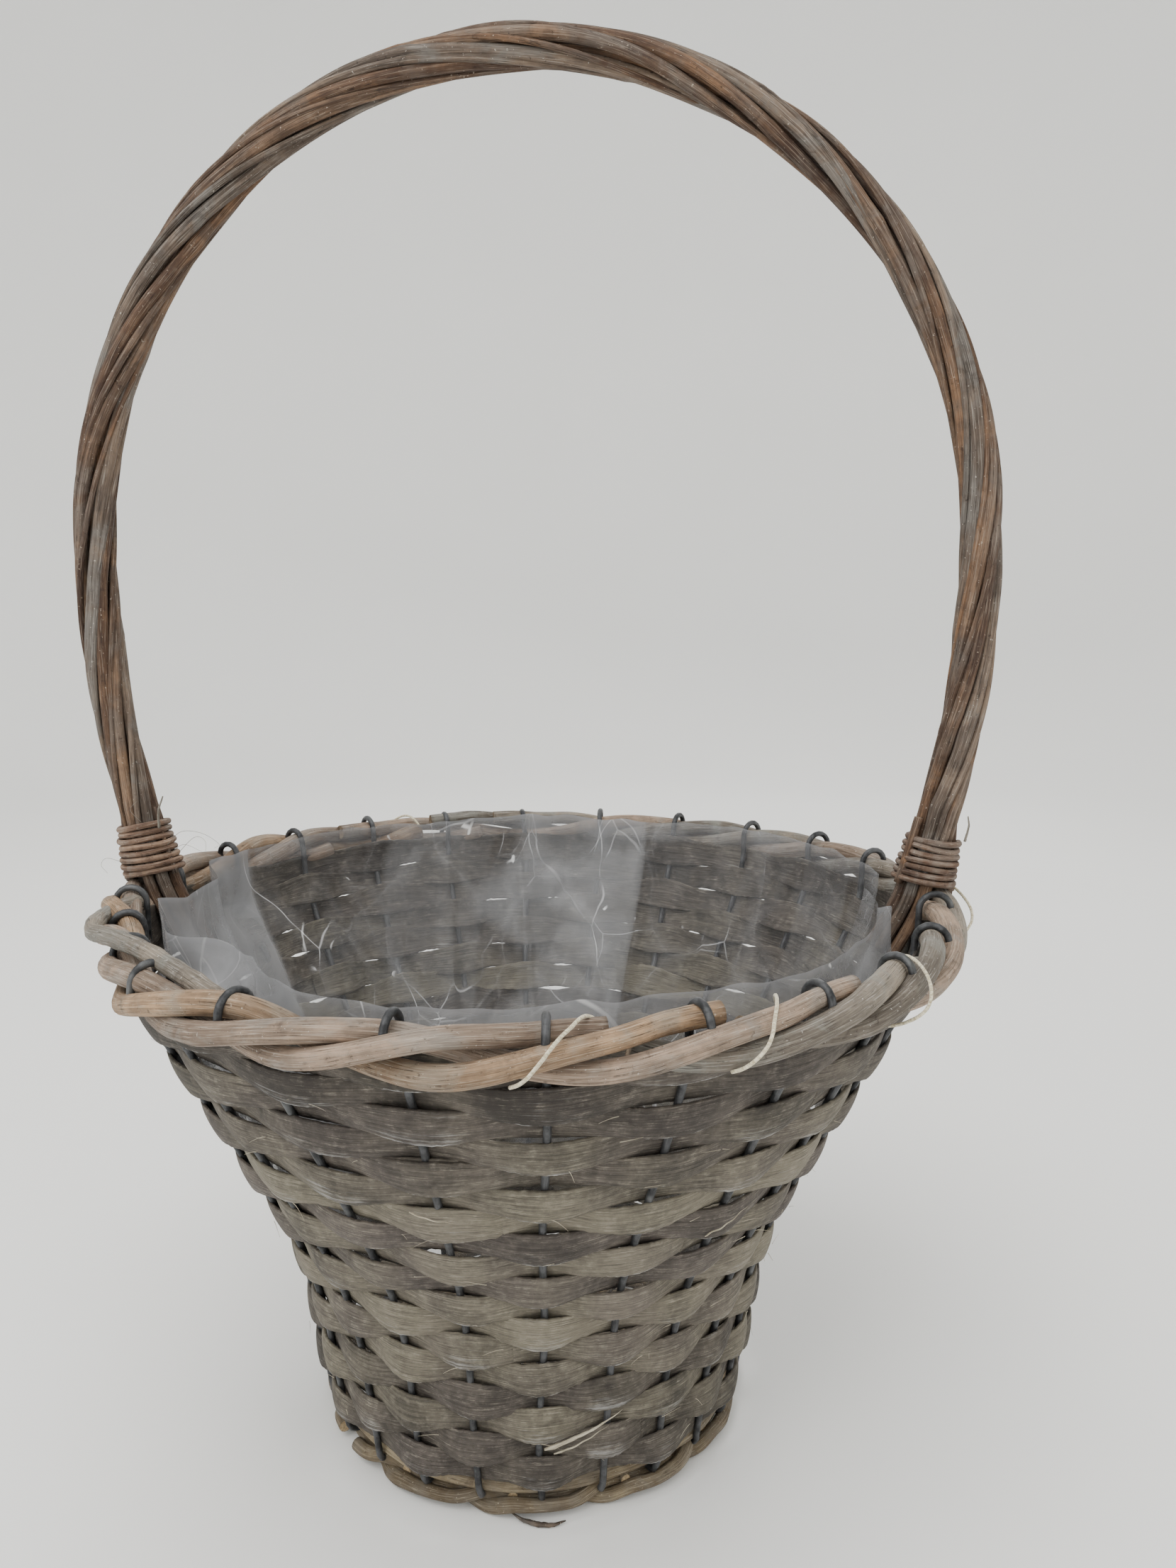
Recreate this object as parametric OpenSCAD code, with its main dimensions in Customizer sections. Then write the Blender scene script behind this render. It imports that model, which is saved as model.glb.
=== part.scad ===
// Hanging basket: chip-wood strips woven on wire stakes, with a twisted rod border,
// a tall fixed hoop handle, a woven willow floor and a clear film liner.
// The origin is the centre of the floor on the surface that the basket stands on.
// The handle lies in the XZ plane. All sizes are millimetres.

/* [Basket] */
// Radius of the border's centre line
rim_r = 160; // [156:1:164]
// Height of the border's centre line above the surface
rim_z = 203; // [202:1:206]
// Lean of the wall near the foot, from upright
low_lean = 8.5; // [8:0.5:9]
// Lean of the flared upper wall, from upright
high_lean = 27; // [26:0.5:28]
// Height at which the wall starts to flare
flare_z = 52; // [48:1:56]
// Radius of the curve between the steep and the flared wall
flare_r = 170; // [150:5:190]

/* [Weave] */
// Number of wire stakes, an even number
stake_count = 24; // [24]
// Diameter of the stake wire
wire_d = 2.5; // [2:0.1:2.6]
// Number of chip strips, from foot to border
row_count = 18; // [16:1:18]
// Height from one strip to the next
row_pitch = 10.2; // [10.2:0.1:10.3]
// Height of the lowest strip's centre line
first_row_z = 21.5; // [21.5:0.1:22]
// Width of a strip where it bows round a stake
petal_w = 14.5; // [12:0.5:15]
// Width of a strip that shows between two stakes
cross_w = 10; // [9:0.2:10]
// Thickness of a strip
strip_t = 1.2; // [1:0.1:1.3]

/* [Border] */
// Diameter of a border rod
rim_rod_d = 8; // [7:0.1:8]
// Turns that each strand makes on its way round
rim_twists = 8; // [8]

/* [Handle] */
// Rise of the crown's centre line above the border
crown_rise = 314; // [280:1:340]
// Half of the handle's greatest width
half_w = 169; // [165:1:175]
// Half of the handle's width at the border
foot_half_w = 147; // [146:1:147]
// Height of the widest point above the border
widest_rise = 134; // [120:1:150]
// Diameter of a handle rod
handle_rod_d = 5.2; // [4.8:0.1:5.2]
// Whole turns of the bundle between its feet
handle_twists = 3; // [1:1:4]
// Diameter of the cane that binds the feet
cane_d = 2.6; // [2:0.1:2.8]

/* [Floor] */
// Radius of the hoop that the stakes hook round
hoop_r = 79.5; // [79:0.1:80]
// Diameter of the hoop and of the foot rods
foot_rod_d = 5; // [4.6:0.1:5.2]
// Diameter of the floor's spokes
spoke_d = 3.6; // [3:0.1:3.8]
// Diameter of the floor's thin weavers
weaver_d = 2.8; // [2.4:0.1:2.8]

/* [Liner] */
// Thickness of the liner
film_t = 0.5; // [0.4:0.1:0.8]
// Gap between the liner and the wall's centre line
film_gap = 4.6; // [4.6:0.1:6]

/* [Hidden] */
strip_names = [for (i = [1:row_count]) str("chip_strip_", i < 10 ? "0" : "", i)];
rim_names = [for (i = [1:6]) str("border_rod_", i)];
handle_names = [for (i = [1:6]) str("handle_rod_", i)];
spoke_names = [for (i = [1:6]) str("floor_spoke_", i)];

round_fn = 48;
clear = 0.15;                       // gap that separates pieces that bear on each other
first_stake = 180 / stake_count;    // the feet of the handle fall between two stakes

// Heights of the floor, from the surface up
foot_z = foot_rod_d / 2;
spoke_z = foot_rod_d + clear + spoke_d / 2;
hoop_z = spoke_z + spoke_d / 2 + foot_rod_d / 2 + clear;
spoke_len = hoop_r + 2;

// The stake's centre line, as radius and height: a hook round the hoop, the steep wall,
// the flare, the straight flared wall, a bend to upright, and a hook over the border
hoop_hook_r = foot_rod_d / 2 + wire_d / 2 + clear;
wall_start = [hoop_r + hoop_hook_r * cos(low_lean), hoop_z - hoop_hook_r * sin(low_lean)];
flare_start = [wall_start[0] + (flare_z - wall_start[1]) * tan(low_lean), flare_z];
flare_centre = flare_start + flare_r * [cos(low_lean), -sin(low_lean)];
flare_end = flare_centre - flare_r * [cos(high_lean), -sin(high_lean)];

// The border: three strands twisted round one another
strand_offset = rim_rod_d / 2 / sin(60) + 0.01;
rope_r = rim_r + 1;                 // the strands lean out a little over the stakes
hook_side = 135;                    // where a stake finds the top strand, from outwards
top_rod = [rope_r + strand_offset * cos(hook_side), rim_z + strand_offset * sin(hook_side)];
rim_hook_r = rim_rod_d / 2 + wire_d / 2 + clear;
bend_r = 40;
bend_end_r = top_rod[0] - rim_hook_r;
bend_start_r = bend_end_r - bend_r * (1 - cos(high_lean));
bend_start = [bend_start_r, flare_end[1] + (bend_start_r - flare_end[0]) / tan(high_lean)];
bend_centre = bend_start + bend_r * [-cos(high_lean), sin(high_lean)];
bend_end = [bend_end_r, bend_centre[1]];
hook_start = [bend_end_r, top_rod[1]];
rim_hook_sweep = 150;
hoop_hook_sweep = 190;

// Radius of the stakes' centre line at height z
function wall_r(z) =
    z < flare_start[1] ? wall_start[0] + (z - wall_start[1]) * tan(low_lean)
    : z < flare_end[1] ? flare_centre[0] - flare_r * cos(asin((z - flare_centre[1]) / flare_r))
    : z < bend_start[1] ? flare_end[0] + (z - flare_end[1]) * tan(high_lean)
    : z < bend_centre[1] ? bend_centre[0] + bend_r * cos(asin((bend_centre[1] - z) / bend_r))
    : bend_end_r;
function wall_lean(z) = atan((wall_r(z + 1) - wall_r(z - 1)) / 2);

function unit(v) = v / norm(v);
function polar(r, a, z) = [r * cos(a), r * sin(a), z];
// Direction of a path at its point i
function along(path, i) = unit(path[min(i + 1, len(path) - 1)] - path[max(i - 1, 0)]);

// Skin over a list of rings that all have the same number of points
module skin(rings, closed = false) {
    n = len(rings[0]);
    m = len(rings);
    last = closed ? m - 1 : m - 2;
    sides = [for (i = [0:last]) for (j = [0:n - 1])
        let (a = i * n, b = ((i + 1) % m) * n, k = (j + 1) % n)
        each [[a + j, b + j, b + k], [a + j, b + k, a + k]]];
    caps = closed ? [] : [[for (j = [0:n - 1]) j], [for (j = [n - 1:-1:0]) (m - 1) * n + j]];
    polyhedron(points = [for (r = rings) each r], faces = concat(sides, caps));
}

// Round rod along a path, with ref pointing across the path
module rod(path, d, ref, sides = 6) {
    m = len(path);
    skin([for (i = [0:m - 1])
        let (t = along(path, i), a = unit(cross(ref, t)), b = cross(t, a))
        [for (k = [0:sides - 1]) path[i] + d / 2 * (cos(360 * k / sides) * a + sin(360 * k / sides) * b)]]);
}

// Wire in the XZ plane: a straight length between two points given as radius and height.
// It stops just short of them, inside the beads
bead_gap = 0.2;
module wire_line(p, q) {
    d = q - p;
    translate([p[0], 0, p[1]]) rotate([0, atan2(d[0], d[1]), 0]) translate([0, 0, bead_gap])
        cylinder(h = norm(d) - 2 * bead_gap, d = wire_d, $fn = round_fn);
}

// Wire in the XZ plane: a bead a hair wider than the wire joins a straight length to an arc
bead_d = 1.04 * wire_d;
module wire_bead(p) translate([p[0], 0, p[1]]) sphere(d = bead_d, $fn = round_fn);

// Wire in the XZ plane: an arc, with angles from outwards towards up
module wire_arc(centre, r, from, sweep) {
    translate([centre[0], 0, centre[1]]) rotate([90, 0, 0]) rotate([0, 0, from])
        rotate_extrude(angle = sweep, $fn = 4 * round_fn) translate([r, 0]) circle(d = wire_d, $fn = round_fn);
}

module stake() {
    wire_arc([hoop_r, hoop_z], hoop_hook_r, -low_lean - hoop_hook_sweep, hoop_hook_sweep);
    wire_line(wall_start, flare_start);
    wire_arc(flare_centre, flare_r, 180 - high_lean, high_lean - low_lean);
    wire_line(flare_end, bend_start);
    wire_arc(bend_centre, bend_r, -high_lean, high_lean);
    wire_line(bend_end, hook_start);
    wire_arc(top_rod, rim_hook_r, 180 - rim_hook_sweep, rim_hook_sweep);
    for (p = [wall_start, flare_start, flare_end, bend_start, bend_end, hook_start]) wire_bead(p);
}

module wire_stakes() {
    color("dimgray") for (i = [0:stake_count - 1])
        rotate([0, 0, first_stake + 360 / stake_count * i]) stake();
}

// Plain ring of round rod
module ring(r, z, d) {
    translate([0, 0, z]) rotate_extrude($fn = 4 * round_fn) translate([r, 0]) circle(d = d, $fn = round_fn);
}

// Two foot rods side by side carry the basket
foot_gap = foot_rod_d / 2 + clear;
module foot_rod_outer() color("tan") ring(hoop_r + foot_gap, foot_z, foot_rod_d);
module foot_rod_inner() color("tan") ring(hoop_r - foot_gap, foot_z, foot_rod_d);
module floor_hoop() color("burlywood") ring(hoop_r, hoop_z, foot_rod_d);

// Thin weavers lie in pairs, one over and one under the spokes
weaver_gap = spoke_d / 2 + weaver_d / 2 + clear;
first_weaver_r = 24;
weaver_pitch = 7;
weaver_rounds = 7;
module floor_weavers() {
    color("burlywood") for (i = [0:weaver_rounds - 1]) for (side = [-1, 1])
        ring(first_weaver_r + weaver_pitch * i, spoke_z + side * weaver_gap, weaver_d);
}

// Three spokes cross over the other three in the middle, and all six fan out to the hoop
spoke_fan = 30;
spoke_side = spoke_d + clear;
cross_margin = 1;                   // the spokes stay level this far past the crossing
bend_room = 5;                      // and they are level again this far inside the first weaver
module floor_spoke(i) {
    across = i < 3 ? 0 : 90;
    lift = (i < 3 ? 1 : -1) * (spoke_d / 2 + clear / 2);
    lane = i % 3 - 1;
    near = spoke_side * 1.5 + cross_margin;
    clear_r = first_weaver_r - bend_room;
    half = [[near, spoke_side * lane, spoke_z + lift],
            [clear_r, clear_r * sin(spoke_fan * lane), spoke_z],
            [spoke_len * cos(spoke_fan * lane), spoke_len * sin(spoke_fan * lane), spoke_z]];
    path = concat([for (k = [2:-1:0]) [-half[k][0], half[k][1], half[k][2]]], half);
    color("burlywood") rotate([0, 0, across]) rod(path, spoke_d, [0, 0, 1], 8);
}

// One woven strip: 1 at a stake that it passes outside, -1 at a stake that it passes inside
weave_slack = 0.4;                  // room between a stake and a strip that passes it
bow = wire_d / 2 + strip_t / 2 + weave_slack;
shingle = 8;                        // the lower edge stands out, so that each strip laps the next
rings_per_gap = 3;
function strip_side(i, k) = cos(180 * k / rings_per_gap + 180 * i);
function strip_ring(i, k) =
    let (side = strip_side(i, k),
         z = first_row_z + row_pitch * i,
         lean = wall_lean(z) - shingle,
         half = cross_w / 2 + (petal_w - cross_w) / 2 * max(0, 2 * abs(side) - 1),
         up = [sin(lean), cos(lean)] * half,
         out = [cos(lean), -sin(lean)] * strip_t / 2,
         mid = [wall_r(z) + bow * side, z],
         az = first_stake + 360 / stake_count / rings_per_gap * k)
    [for (c = [mid - up - out, mid - up + out, mid + up + out, mid + up - out]) polar(c[0], az, c[1])];
strip_colours = ["#77726a", "#6c665e", "#7d786b", "#736b66", "#68645f"];
module chip_strip(i) {
    color(strip_colours[i % len(strip_colours)])
        skin([for (k = [0:stake_count * rings_per_gap - 1]) strip_ring(i, k)], closed = true);
}

// A border rod runs half way round in one of three strands, and its tail lies on top
rod_gap = 1.2;
strand_turn = 360 / rim_twists / 3;
tail_past = 1.5;                    // a tail ends this far past a front stake
tail_end = first_stake - 90 - tail_past;
function strand_point(s, az) =
    let (turn = hook_side + rim_twists * (az - first_stake) + 120 * s)
    polar(rope_r + strand_offset * cos(turn), az, rim_z + strand_offset * sin(turn));
rim_steps = 32;
module border_rod(i) {
    s = i % 3;
    end = tail_end + strand_turn * [0, 2, 1][s] + (i < 3 ? 0 : 180);
    path = [for (k = [0:rim_steps]) strand_point(s, end - 180 + rod_gap + (180 - 2 * rod_gap) * k / rim_steps)];
    color(s == 0 ? "#9a846c" : s == 1 ? "#8b7a68" : "#a58b6b") rod(path, rim_rod_d, [0, 0, 1]);
}

// The handle's centre line: two legs and a half-ellipse
foot_end_z = 172;
leg_steps = 9;
leg_extra_lean = 0.5;               // below the border the legs lean a little more than the wall
arch_steps = 32;
function leg_x(z) = z > rim_z ? half_w - (half_w - foot_half_w) * pow(1 - (z - rim_z) / widest_rise, 2)
    : foot_half_w - (rim_z - z) * tan(high_lean + leg_extra_lean);
left_leg = [for (i = [0:leg_steps - 1])
    let (z = foot_end_z + (rim_z + widest_rise - foot_end_z) * i / leg_steps) [-leg_x(z), 0, z]];
arch = [for (i = [0:arch_steps])
    let (a = 180 - 180 * i / arch_steps)
    [half_w * cos(a), 0, rim_z + widest_rise + (crown_rise - widest_rise) * sin(a)]];
right_leg = [for (i = [leg_steps - 1:-1:0]) [-left_leg[i][0], 0, left_leg[i][2]]];
spine = concat(left_leg, arch, right_leg);
function outward(i) = let (t = along(spine, i)) [-t[2], 0, t[0]];
spine_last = len(spine) - 1;

// Rods keep their place below the bindings and twist evenly between them
twist_start = 3;
function twist(i) = 360 * handle_twists
    * max(0, min(1, (i - twist_start) / (spine_last - 2 * twist_start)));
hair = 0.03;                        // gap between the rods of the bundle
bundle_offset = handle_rod_d + hair;
function handle_path(j, skip = 0) = [for (i = [skip:spine_last - skip])
    let (a = 60 * j - twist(i))
    spine[i] + bundle_offset * (cos(a) * outward(i) + [0, sin(a), 0])];

// The first rod stays outside the border: it leaves the bundle within the binding
splay_top = 238;
splay_end = 213;
splay_out = 6;
function splay(z) = z < splay_top ? splay_out * (splay_top - z) / (splay_top - splay_end) : 0;
module handle_rod(j) {
    path = j > 0 ? handle_path(j)
        : [for (p = handle_path(0, twist_start - 1)) p + [sign(p[0]) * splay(p[2]), 0, 0]];
    color(j % 2 == 0 ? "#7a5a45" : "#8a6a50") rod(path, handle_rod_d, [0, 1, 0]);
}
module handle_core_rod() color("#6b4f3e") rod(spine, handle_rod_d, [0, 1, 0]);

// Cane wound round a foot of the handle, wider at the bottom where the bundle splays
bind_bottom = 213;
bind_pitch = cane_d + 0.15;
left_turns = 8;
right_turns = 7;
cane_steps = 10;
module binding(turns) {
    bundle_r = bundle_offset + handle_rod_d / 2 + cane_d / 2 + clear;
    path = [for (k = [0:turns * cane_steps])
        let (z = bind_bottom + bind_pitch * k / cane_steps, wide = splay(z) / 2, a = 360 * k / cane_steps)
        [leg_x(z) + wide + (bundle_r + wide) * cos(a) / cos(180 / cane_steps), bundle_r * sin(a) / cos(180 / cane_steps), z]];
    color("#7b543c") rod(path, cane_d, [0, 0, 1], 5);
}
module handle_binding_left() mirror([1, 0, 0]) binding(left_turns);
module handle_binding_right() binding(right_turns);

// Cut end of a packing rod that lies in a groove of the bundle and shows above the binding
stub_d = 1.6;
stub_groove = 210;
stub_bottom = 216;
left_stub_top = 240;
right_stub_top = 238;
stub_steps = 5;
groove_r = bundle_offset * cos(30)
    + sqrt(pow(handle_rod_d / 2 + stub_d / 2 + clear, 2) - pow(bundle_offset * sin(30), 2));
leg_pitch = (rim_z + widest_rise - foot_end_z) / leg_steps;
module stub(side, top) {
    path = [for (k = [0:stub_steps])
        let (z = stub_bottom + (top - stub_bottom) * k / stub_steps,
             tilt = atan((leg_x(z + 1) - leg_x(z - 1)) / 2),
             a = stub_groove + side * twist((z - foot_end_z) / leg_pitch),
             out = [side * cos(tilt), 0, -sin(tilt)])
        [side * leg_x(z), 0, z] + groove_r * (cos(a) * out + [0, sin(a), 0])];
    color("#6f4c38") rod(path, stub_d, [0, 1, 0]);
}
module handle_stub_left() stub(-1, left_stub_top);
module handle_stub_right() stub(1, right_stub_top);

// Film liner: a thin open shell inside the weave, notched round the feet of the handle
film_lift = 2.6;                    // the film sits this far over the floor's weavers
film_floor_z = spoke_z + weaver_gap + weaver_d / 2 + film_lift;
film_floor_r = hoop_r - 4;
film_top_z = rim_z + 1;
low_knees = [22, 36];
flare_knees = [for (k = [0:4]) flare_start[1] + (flare_end[1] - flare_start[1]) * k / 4];
high_knees = [130, 160, bend_start[1], film_top_z];
film_knees = concat(low_knees, flare_knees, high_knees);
notch_size = [40, 26, 60];          // the film is cut away round the feet of the handle
notch_x = foot_half_w - 9;
notch_z = 163;
function film_side(gap) = [for (z = film_knees) [wall_r(z) - gap, z]];
module liner() {
    outer = film_side(film_gap);
    inner = film_side(film_gap + film_t);
    outline = concat([[0, film_floor_z], [film_floor_r, film_floor_z]], outer,
        [for (k = [len(inner) - 1:-1:0]) inner[k]],
        [[film_floor_r, film_floor_z + film_t], [0, film_floor_z + film_t]]);
    color([0.8, 0.82, 0.84, 0.4]) difference() {
        rotate_extrude($fn = 4 * round_fn) polygon(outline);
        for (side = [-1, 1]) translate([side * notch_x - notch_size[0] / 2, -notch_size[1] / 2, notch_z])
            cube(notch_size);
    }
}

// Cotton stitches that tie the liner to the border
thread_d = 1.1;
stitch_steps = 10;
stitch_at = [-90, -48, -26, 15, 118];
stitch_from = 170;                  // a stitch goes over the border from its inner side
stitch_sweep = 250;
stitch_slant = 5;
stitch_room = 0.3;
module liner_stitches() {
    loop_r = strand_offset + rim_rod_d / 2 + thread_d / 2 + stitch_room;
    color("ivory") for (az = stitch_at) {
        path = [for (k = [0:stitch_steps])
            let (turn = stitch_from - stitch_sweep * k / stitch_steps)
            polar(rope_r + loop_r * cos(turn), az - stitch_slant * k / stitch_steps, rim_z + loop_r * sin(turn))];
        rod(path, thread_d, [-sin(az), cos(az), 0], 4);
    }
}

wire_stakes();
foot_rod_outer();
foot_rod_inner();
floor_hoop();
floor_weavers();
for (i = [0:5]) floor_spoke(i);
for (i = [0:row_count - 1]) chip_strip(i);
for (i = [0:5]) border_rod(i);
for (i = [0:5]) handle_rod(i);
handle_core_rod();
handle_binding_left();
handle_binding_right();
handle_stub_left();
handle_stub_right();
liner();
liner_stitches();
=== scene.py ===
import bpy, bmesh, math
import numpy as np
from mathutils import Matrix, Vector, noise


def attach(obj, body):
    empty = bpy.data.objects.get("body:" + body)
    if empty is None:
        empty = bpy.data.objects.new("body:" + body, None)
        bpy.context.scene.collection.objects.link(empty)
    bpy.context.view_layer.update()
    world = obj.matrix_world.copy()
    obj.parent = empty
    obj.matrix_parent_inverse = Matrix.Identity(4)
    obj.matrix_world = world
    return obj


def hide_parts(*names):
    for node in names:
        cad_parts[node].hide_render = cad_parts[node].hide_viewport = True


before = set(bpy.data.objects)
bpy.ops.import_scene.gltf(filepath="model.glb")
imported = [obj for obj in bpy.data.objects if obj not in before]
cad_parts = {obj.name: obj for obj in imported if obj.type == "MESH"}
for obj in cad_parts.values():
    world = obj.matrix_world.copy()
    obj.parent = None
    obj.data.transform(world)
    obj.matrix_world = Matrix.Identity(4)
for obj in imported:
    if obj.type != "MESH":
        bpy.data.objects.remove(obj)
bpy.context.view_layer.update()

print("frame loaded:", len(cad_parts), "nodes")

# The basket's main shape, in metres and degrees, as in the frame
basket = dict(wallFoot=(0.083357, 0.010824), steepLean=8.5, flareStart=0.052, flareCentre=(0.257644, 0.026872),
              flareRadius=0.170, flareEnd=(0.106173, 0.104045), highLean=27.0, bendStart=0.18608,
              bendCentre=(0.112327, 0.20424), bendRadius=0.040, borderRadius=0.161, borderHeight=0.203,
              stakes=24, firstStake=7.5,
              tuck=dict(sides=0.0016, left=0.0076, leftAt=207, leftWide=16, right=0.0026, rightAt=-14, rightWide=18))


def wallRadius(z):
    # radius of the stakes' centre line at a height, for numbers or arrays
    b = basket
    z = np.asarray(z, float)
    steep = b["wallFoot"][0] + (z - b["wallFoot"][1]) * math.tan(math.radians(b["steepLean"]))
    rise = np.clip((z - b["flareCentre"][1]) / b["flareRadius"], -0.99, 0.99)
    flare = b["flareCentre"][0] - b["flareRadius"] * np.sqrt(1 - rise ** 2)
    straight = b["flareEnd"][0] + (z - b["flareEnd"][1]) * math.tan(math.radians(b["highLean"]))
    drop = np.clip((b["bendCentre"][1] - z) / b["bendRadius"], -0.99, 0.99)
    bend = b["bendCentre"][0] + b["bendRadius"] * np.sqrt(1 - drop ** 2)
    top = b["bendCentre"][0] + b["bendRadius"] + 0 * z
    return np.select([z < b["flareStart"], z < b["flareEnd"][1], z < b["bendStart"], z < b["bendCentre"][1]],
                     [steep, flare, straight, bend], top)


def wallLean(z):
    return np.arctan((wallRadius(z + 0.001) - wallRadius(z - 0.001)) / 0.002)


def polar(radius, azimuth, height):
    # azimuth in degrees
    a = np.radians(azimuth)
    return np.stack(np.broadcast_arrays(radius * np.cos(a), radius * np.sin(a), height), axis=-1)


def wander(seed, t, slowest, fastest, waves=6, closed=False):
    # a smooth random line along t, about -1 to 1; closed joins its ends over t = 0 to 1
    rng = np.random.default_rng(seed)
    turns = rng.uniform(slowest, fastest, waves)
    if closed:
        turns = np.round(turns)
    phase = rng.random(waves)
    t = np.asarray(t, float)
    total = 0 * t
    for turn, start in zip(turns, phase):
        total = total + np.sin(2 * np.pi * (turn * t + start))
    return total / math.sqrt(waves)


def apart(az, at):
    # degrees from one azimuth to another, the short way
    return (np.asarray(az, float) - at + 180) % 360 - 180


def tuck(az):
    # how far the border, the hooks and the film are drawn in at each side
    t = basket["tuck"]
    return (t["sides"] * np.cos(np.radians(az)) ** 2
            + t["left"] * np.exp(-(apart(az, t["leftAt"]) / t["leftWide"]) ** 2)
            + t["right"] * np.exp(-(apart(az, t["rightAt"]) / t["rightWide"]) ** 2))


def smoothStep(low, high, value):
    x = np.clip((np.asarray(value, float) - low) / (high - low), 0, 1)
    return x * x * (3 - 2 * x)


def newGrid(along, across, attributes=()):
    bm = bmesh.new()
    bm.loops.layers.uv.new("UVMap")
    for name in attributes:
        bm.verts.layers.float.new(name)
    bmesh.ops.create_grid(bm, x_segments=along, y_segments=across, size=0.5, calc_uvs=True)
    return bm


def shapeGrid(bm, shape, uLength, vLength):
    # shape takes arrays t, s from 0 to 1 and gives points, and maybe a dictionary of attributes
    uv = bm.loops.layers.uv.active
    for face in bm.faces:
        for loop in face.loops:
            loop[uv].uv = ((loop.vert.co.x + 0.5) * uLength, (loop.vert.co.y + 0.5) * vLength)
    spots = np.array([vert.co for vert in bm.verts])
    made = shape(spots[:, 0] + 0.5, spots[:, 1] + 0.5)
    points, extra = made if isinstance(made, tuple) else (made, {})
    for vert, point in zip(bm.verts, points):
        vert.co = point
    for name, values in extra.items():
        layer = bm.verts.layers.float[name]
        for vert, value in zip(bm.verts, values):
            vert[layer] = float(value)


def carried(path):
    # axes that travel along a path without twisting
    path = np.asarray(path, float)
    tangent = np.gradient(path, axis=0)
    tangent /= np.linalg.norm(tangent, axis=1)[:, None]
    first = np.cross(tangent[0], [0.0, 0.0, 1.0])
    if np.linalg.norm(first) < 0.1:
        first = np.cross(tangent[0], [0.0, 1.0, 0.0])
    side = [first / np.linalg.norm(first)]
    for k in range(1, len(path)):
        s = side[-1] - tangent[k] * np.dot(side[-1], tangent[k])
        side.append(s / np.linalg.norm(s))
    side = np.array(side)
    return tangent, side, np.cross(tangent, side)


def resample(points, count):
    # points spread evenly along a smooth curve through a few points
    points = np.asarray(points, float)
    padded = np.vstack([2 * points[0] - points[1], points, 2 * points[-1] - points[-2]])
    dense = []
    for k in range(1, len(padded) - 2):
        a, b, c, d = padded[k - 1:k + 3]
        for t in np.linspace(0, 1, 24, endpoint=False):
            bend, twist = 2 * a - 5 * b + 4 * c - d, 3 * b - a - 3 * c + d
            dense.append(0.5 * (2 * b + (c - a) * t + bend * t ** 2 + twist * t ** 3))
    dense.append(points[-1])
    dense = np.array(dense)
    run = np.concatenate([[0], np.cumsum(np.linalg.norm(np.diff(dense, axis=0), axis=1))])
    want = np.linspace(0, run[-1], count)
    return np.stack([np.interp(want, run, dense[:, k]) for k in range(3)], axis=-1)


rodEnd = dict(lip=0.14, dome=0.10)  # of a rod's cut end, as shares of its radius


def addRod(bm, path, radius, sides, seed, lump=0.04, knots=0, knotSize=0.16, capMaterial=1):
    # a natural rod along a path: uneven, with knots, and with cut ends in their own material
    path = np.asarray(path, float)
    rings = len(path)
    length = float(np.linalg.norm(np.diff(path, axis=0), axis=1).sum())
    tangent, side, up = carried(path)
    part = newGrid(rings - 1, sides, ("tone",))
    rng = np.random.default_rng(seed)
    knotAt, knotTurn = rng.random(knots), rng.random(knots) * 2 * math.pi
    radius = np.broadcast_to(np.asarray(radius, float), (rings,))
    toneLevel = rng.uniform(-0.5, 0.5)

    def shape(t, s):
        ring = np.round(t * (rings - 1)).astype(int)
        turn = 2 * math.pi * s
        uneven = (wander(seed + 1, t, 2, 14) * np.cos(turn) + wander(seed + 2, t, 3, 20) * np.cos(2 * turn + 1)
                  + 0.5 * wander(seed + 3, t, 4, 30) * np.sin(3 * turn))
        r = radius[ring] * (1 + lump * uneven)
        for at, towards in zip(knotAt, knotTurn):
            near = np.exp(-((t - at) * length / (1.6 * radius[ring])) ** 2)
            r = r * (1 + knotSize * near * (0.45 + 0.55 * np.cos(turn - towards)))
        away = np.cos(turn)[:, None] * side[ring] + np.sin(turn)[:, None] * up[ring]
        points = path[ring] + r[:, None] * away
        return points, {"tone": toneLevel + 0.6 * wander(seed + 5, t, 1, 6)}

    shapeGrid(part, shape, length, 2 * math.pi * float(radius.mean()))
    bmesh.ops.remove_doubles(part, verts=part.verts[:], dist=1e-7)
    caps = bmesh.ops.holes_fill(part, edges=[e for e in part.edges if e.is_boundary], sides=0)["faces"]
    for face in caps:
        face.material_index = capMaterial
    thinnest = float(radius.min())
    rim = bmesh.ops.inset_region(part, faces=caps, thickness=thinnest * rodEnd["lip"], use_even_offset=True)
    for face in rim["faces"]:
        face.material_index = capMaterial
    for face in caps:
        outward = face.normal.copy()
        bmesh.ops.translate(part, verts=face.verts[:], vec=outward * thinnest * rodEnd["dome"])
    bmesh.ops.recalc_face_normals(part, faces=part.faces[:])
    join(bm, part)


def join(bm, part):
    # adds the mesh of part to bm
    mesh = bpy.data.meshes.new("joined")
    part.to_mesh(mesh)
    bm.from_mesh(mesh)
    bpy.data.meshes.remove(mesh)
    part.free()


def makePiece(name, bm, materials, stands=()):
    mesh = bpy.data.meshes.new(name)
    for face in bm.faces:
        face.smooth = True
    bm.to_mesh(mesh)
    bm.free()
    for material in materials:
        mesh.materials.append(material)
    piece = bpy.data.objects.new(name, mesh)
    bpy.context.scene.collection.objects.link(piece)
    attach(piece, "root")
    if stands:
        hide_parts(*stands)
    return piece


def paint(red, green, blue):
    # a colour picked on the screen, as linear light
    shares = [c / 255 for c in (red, green, blue)]
    return tuple(((c + 0.055) / 1.055) ** 2.4 if c > 0.04 else c / 12.92 for c in shares) + (1.0,)


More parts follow.
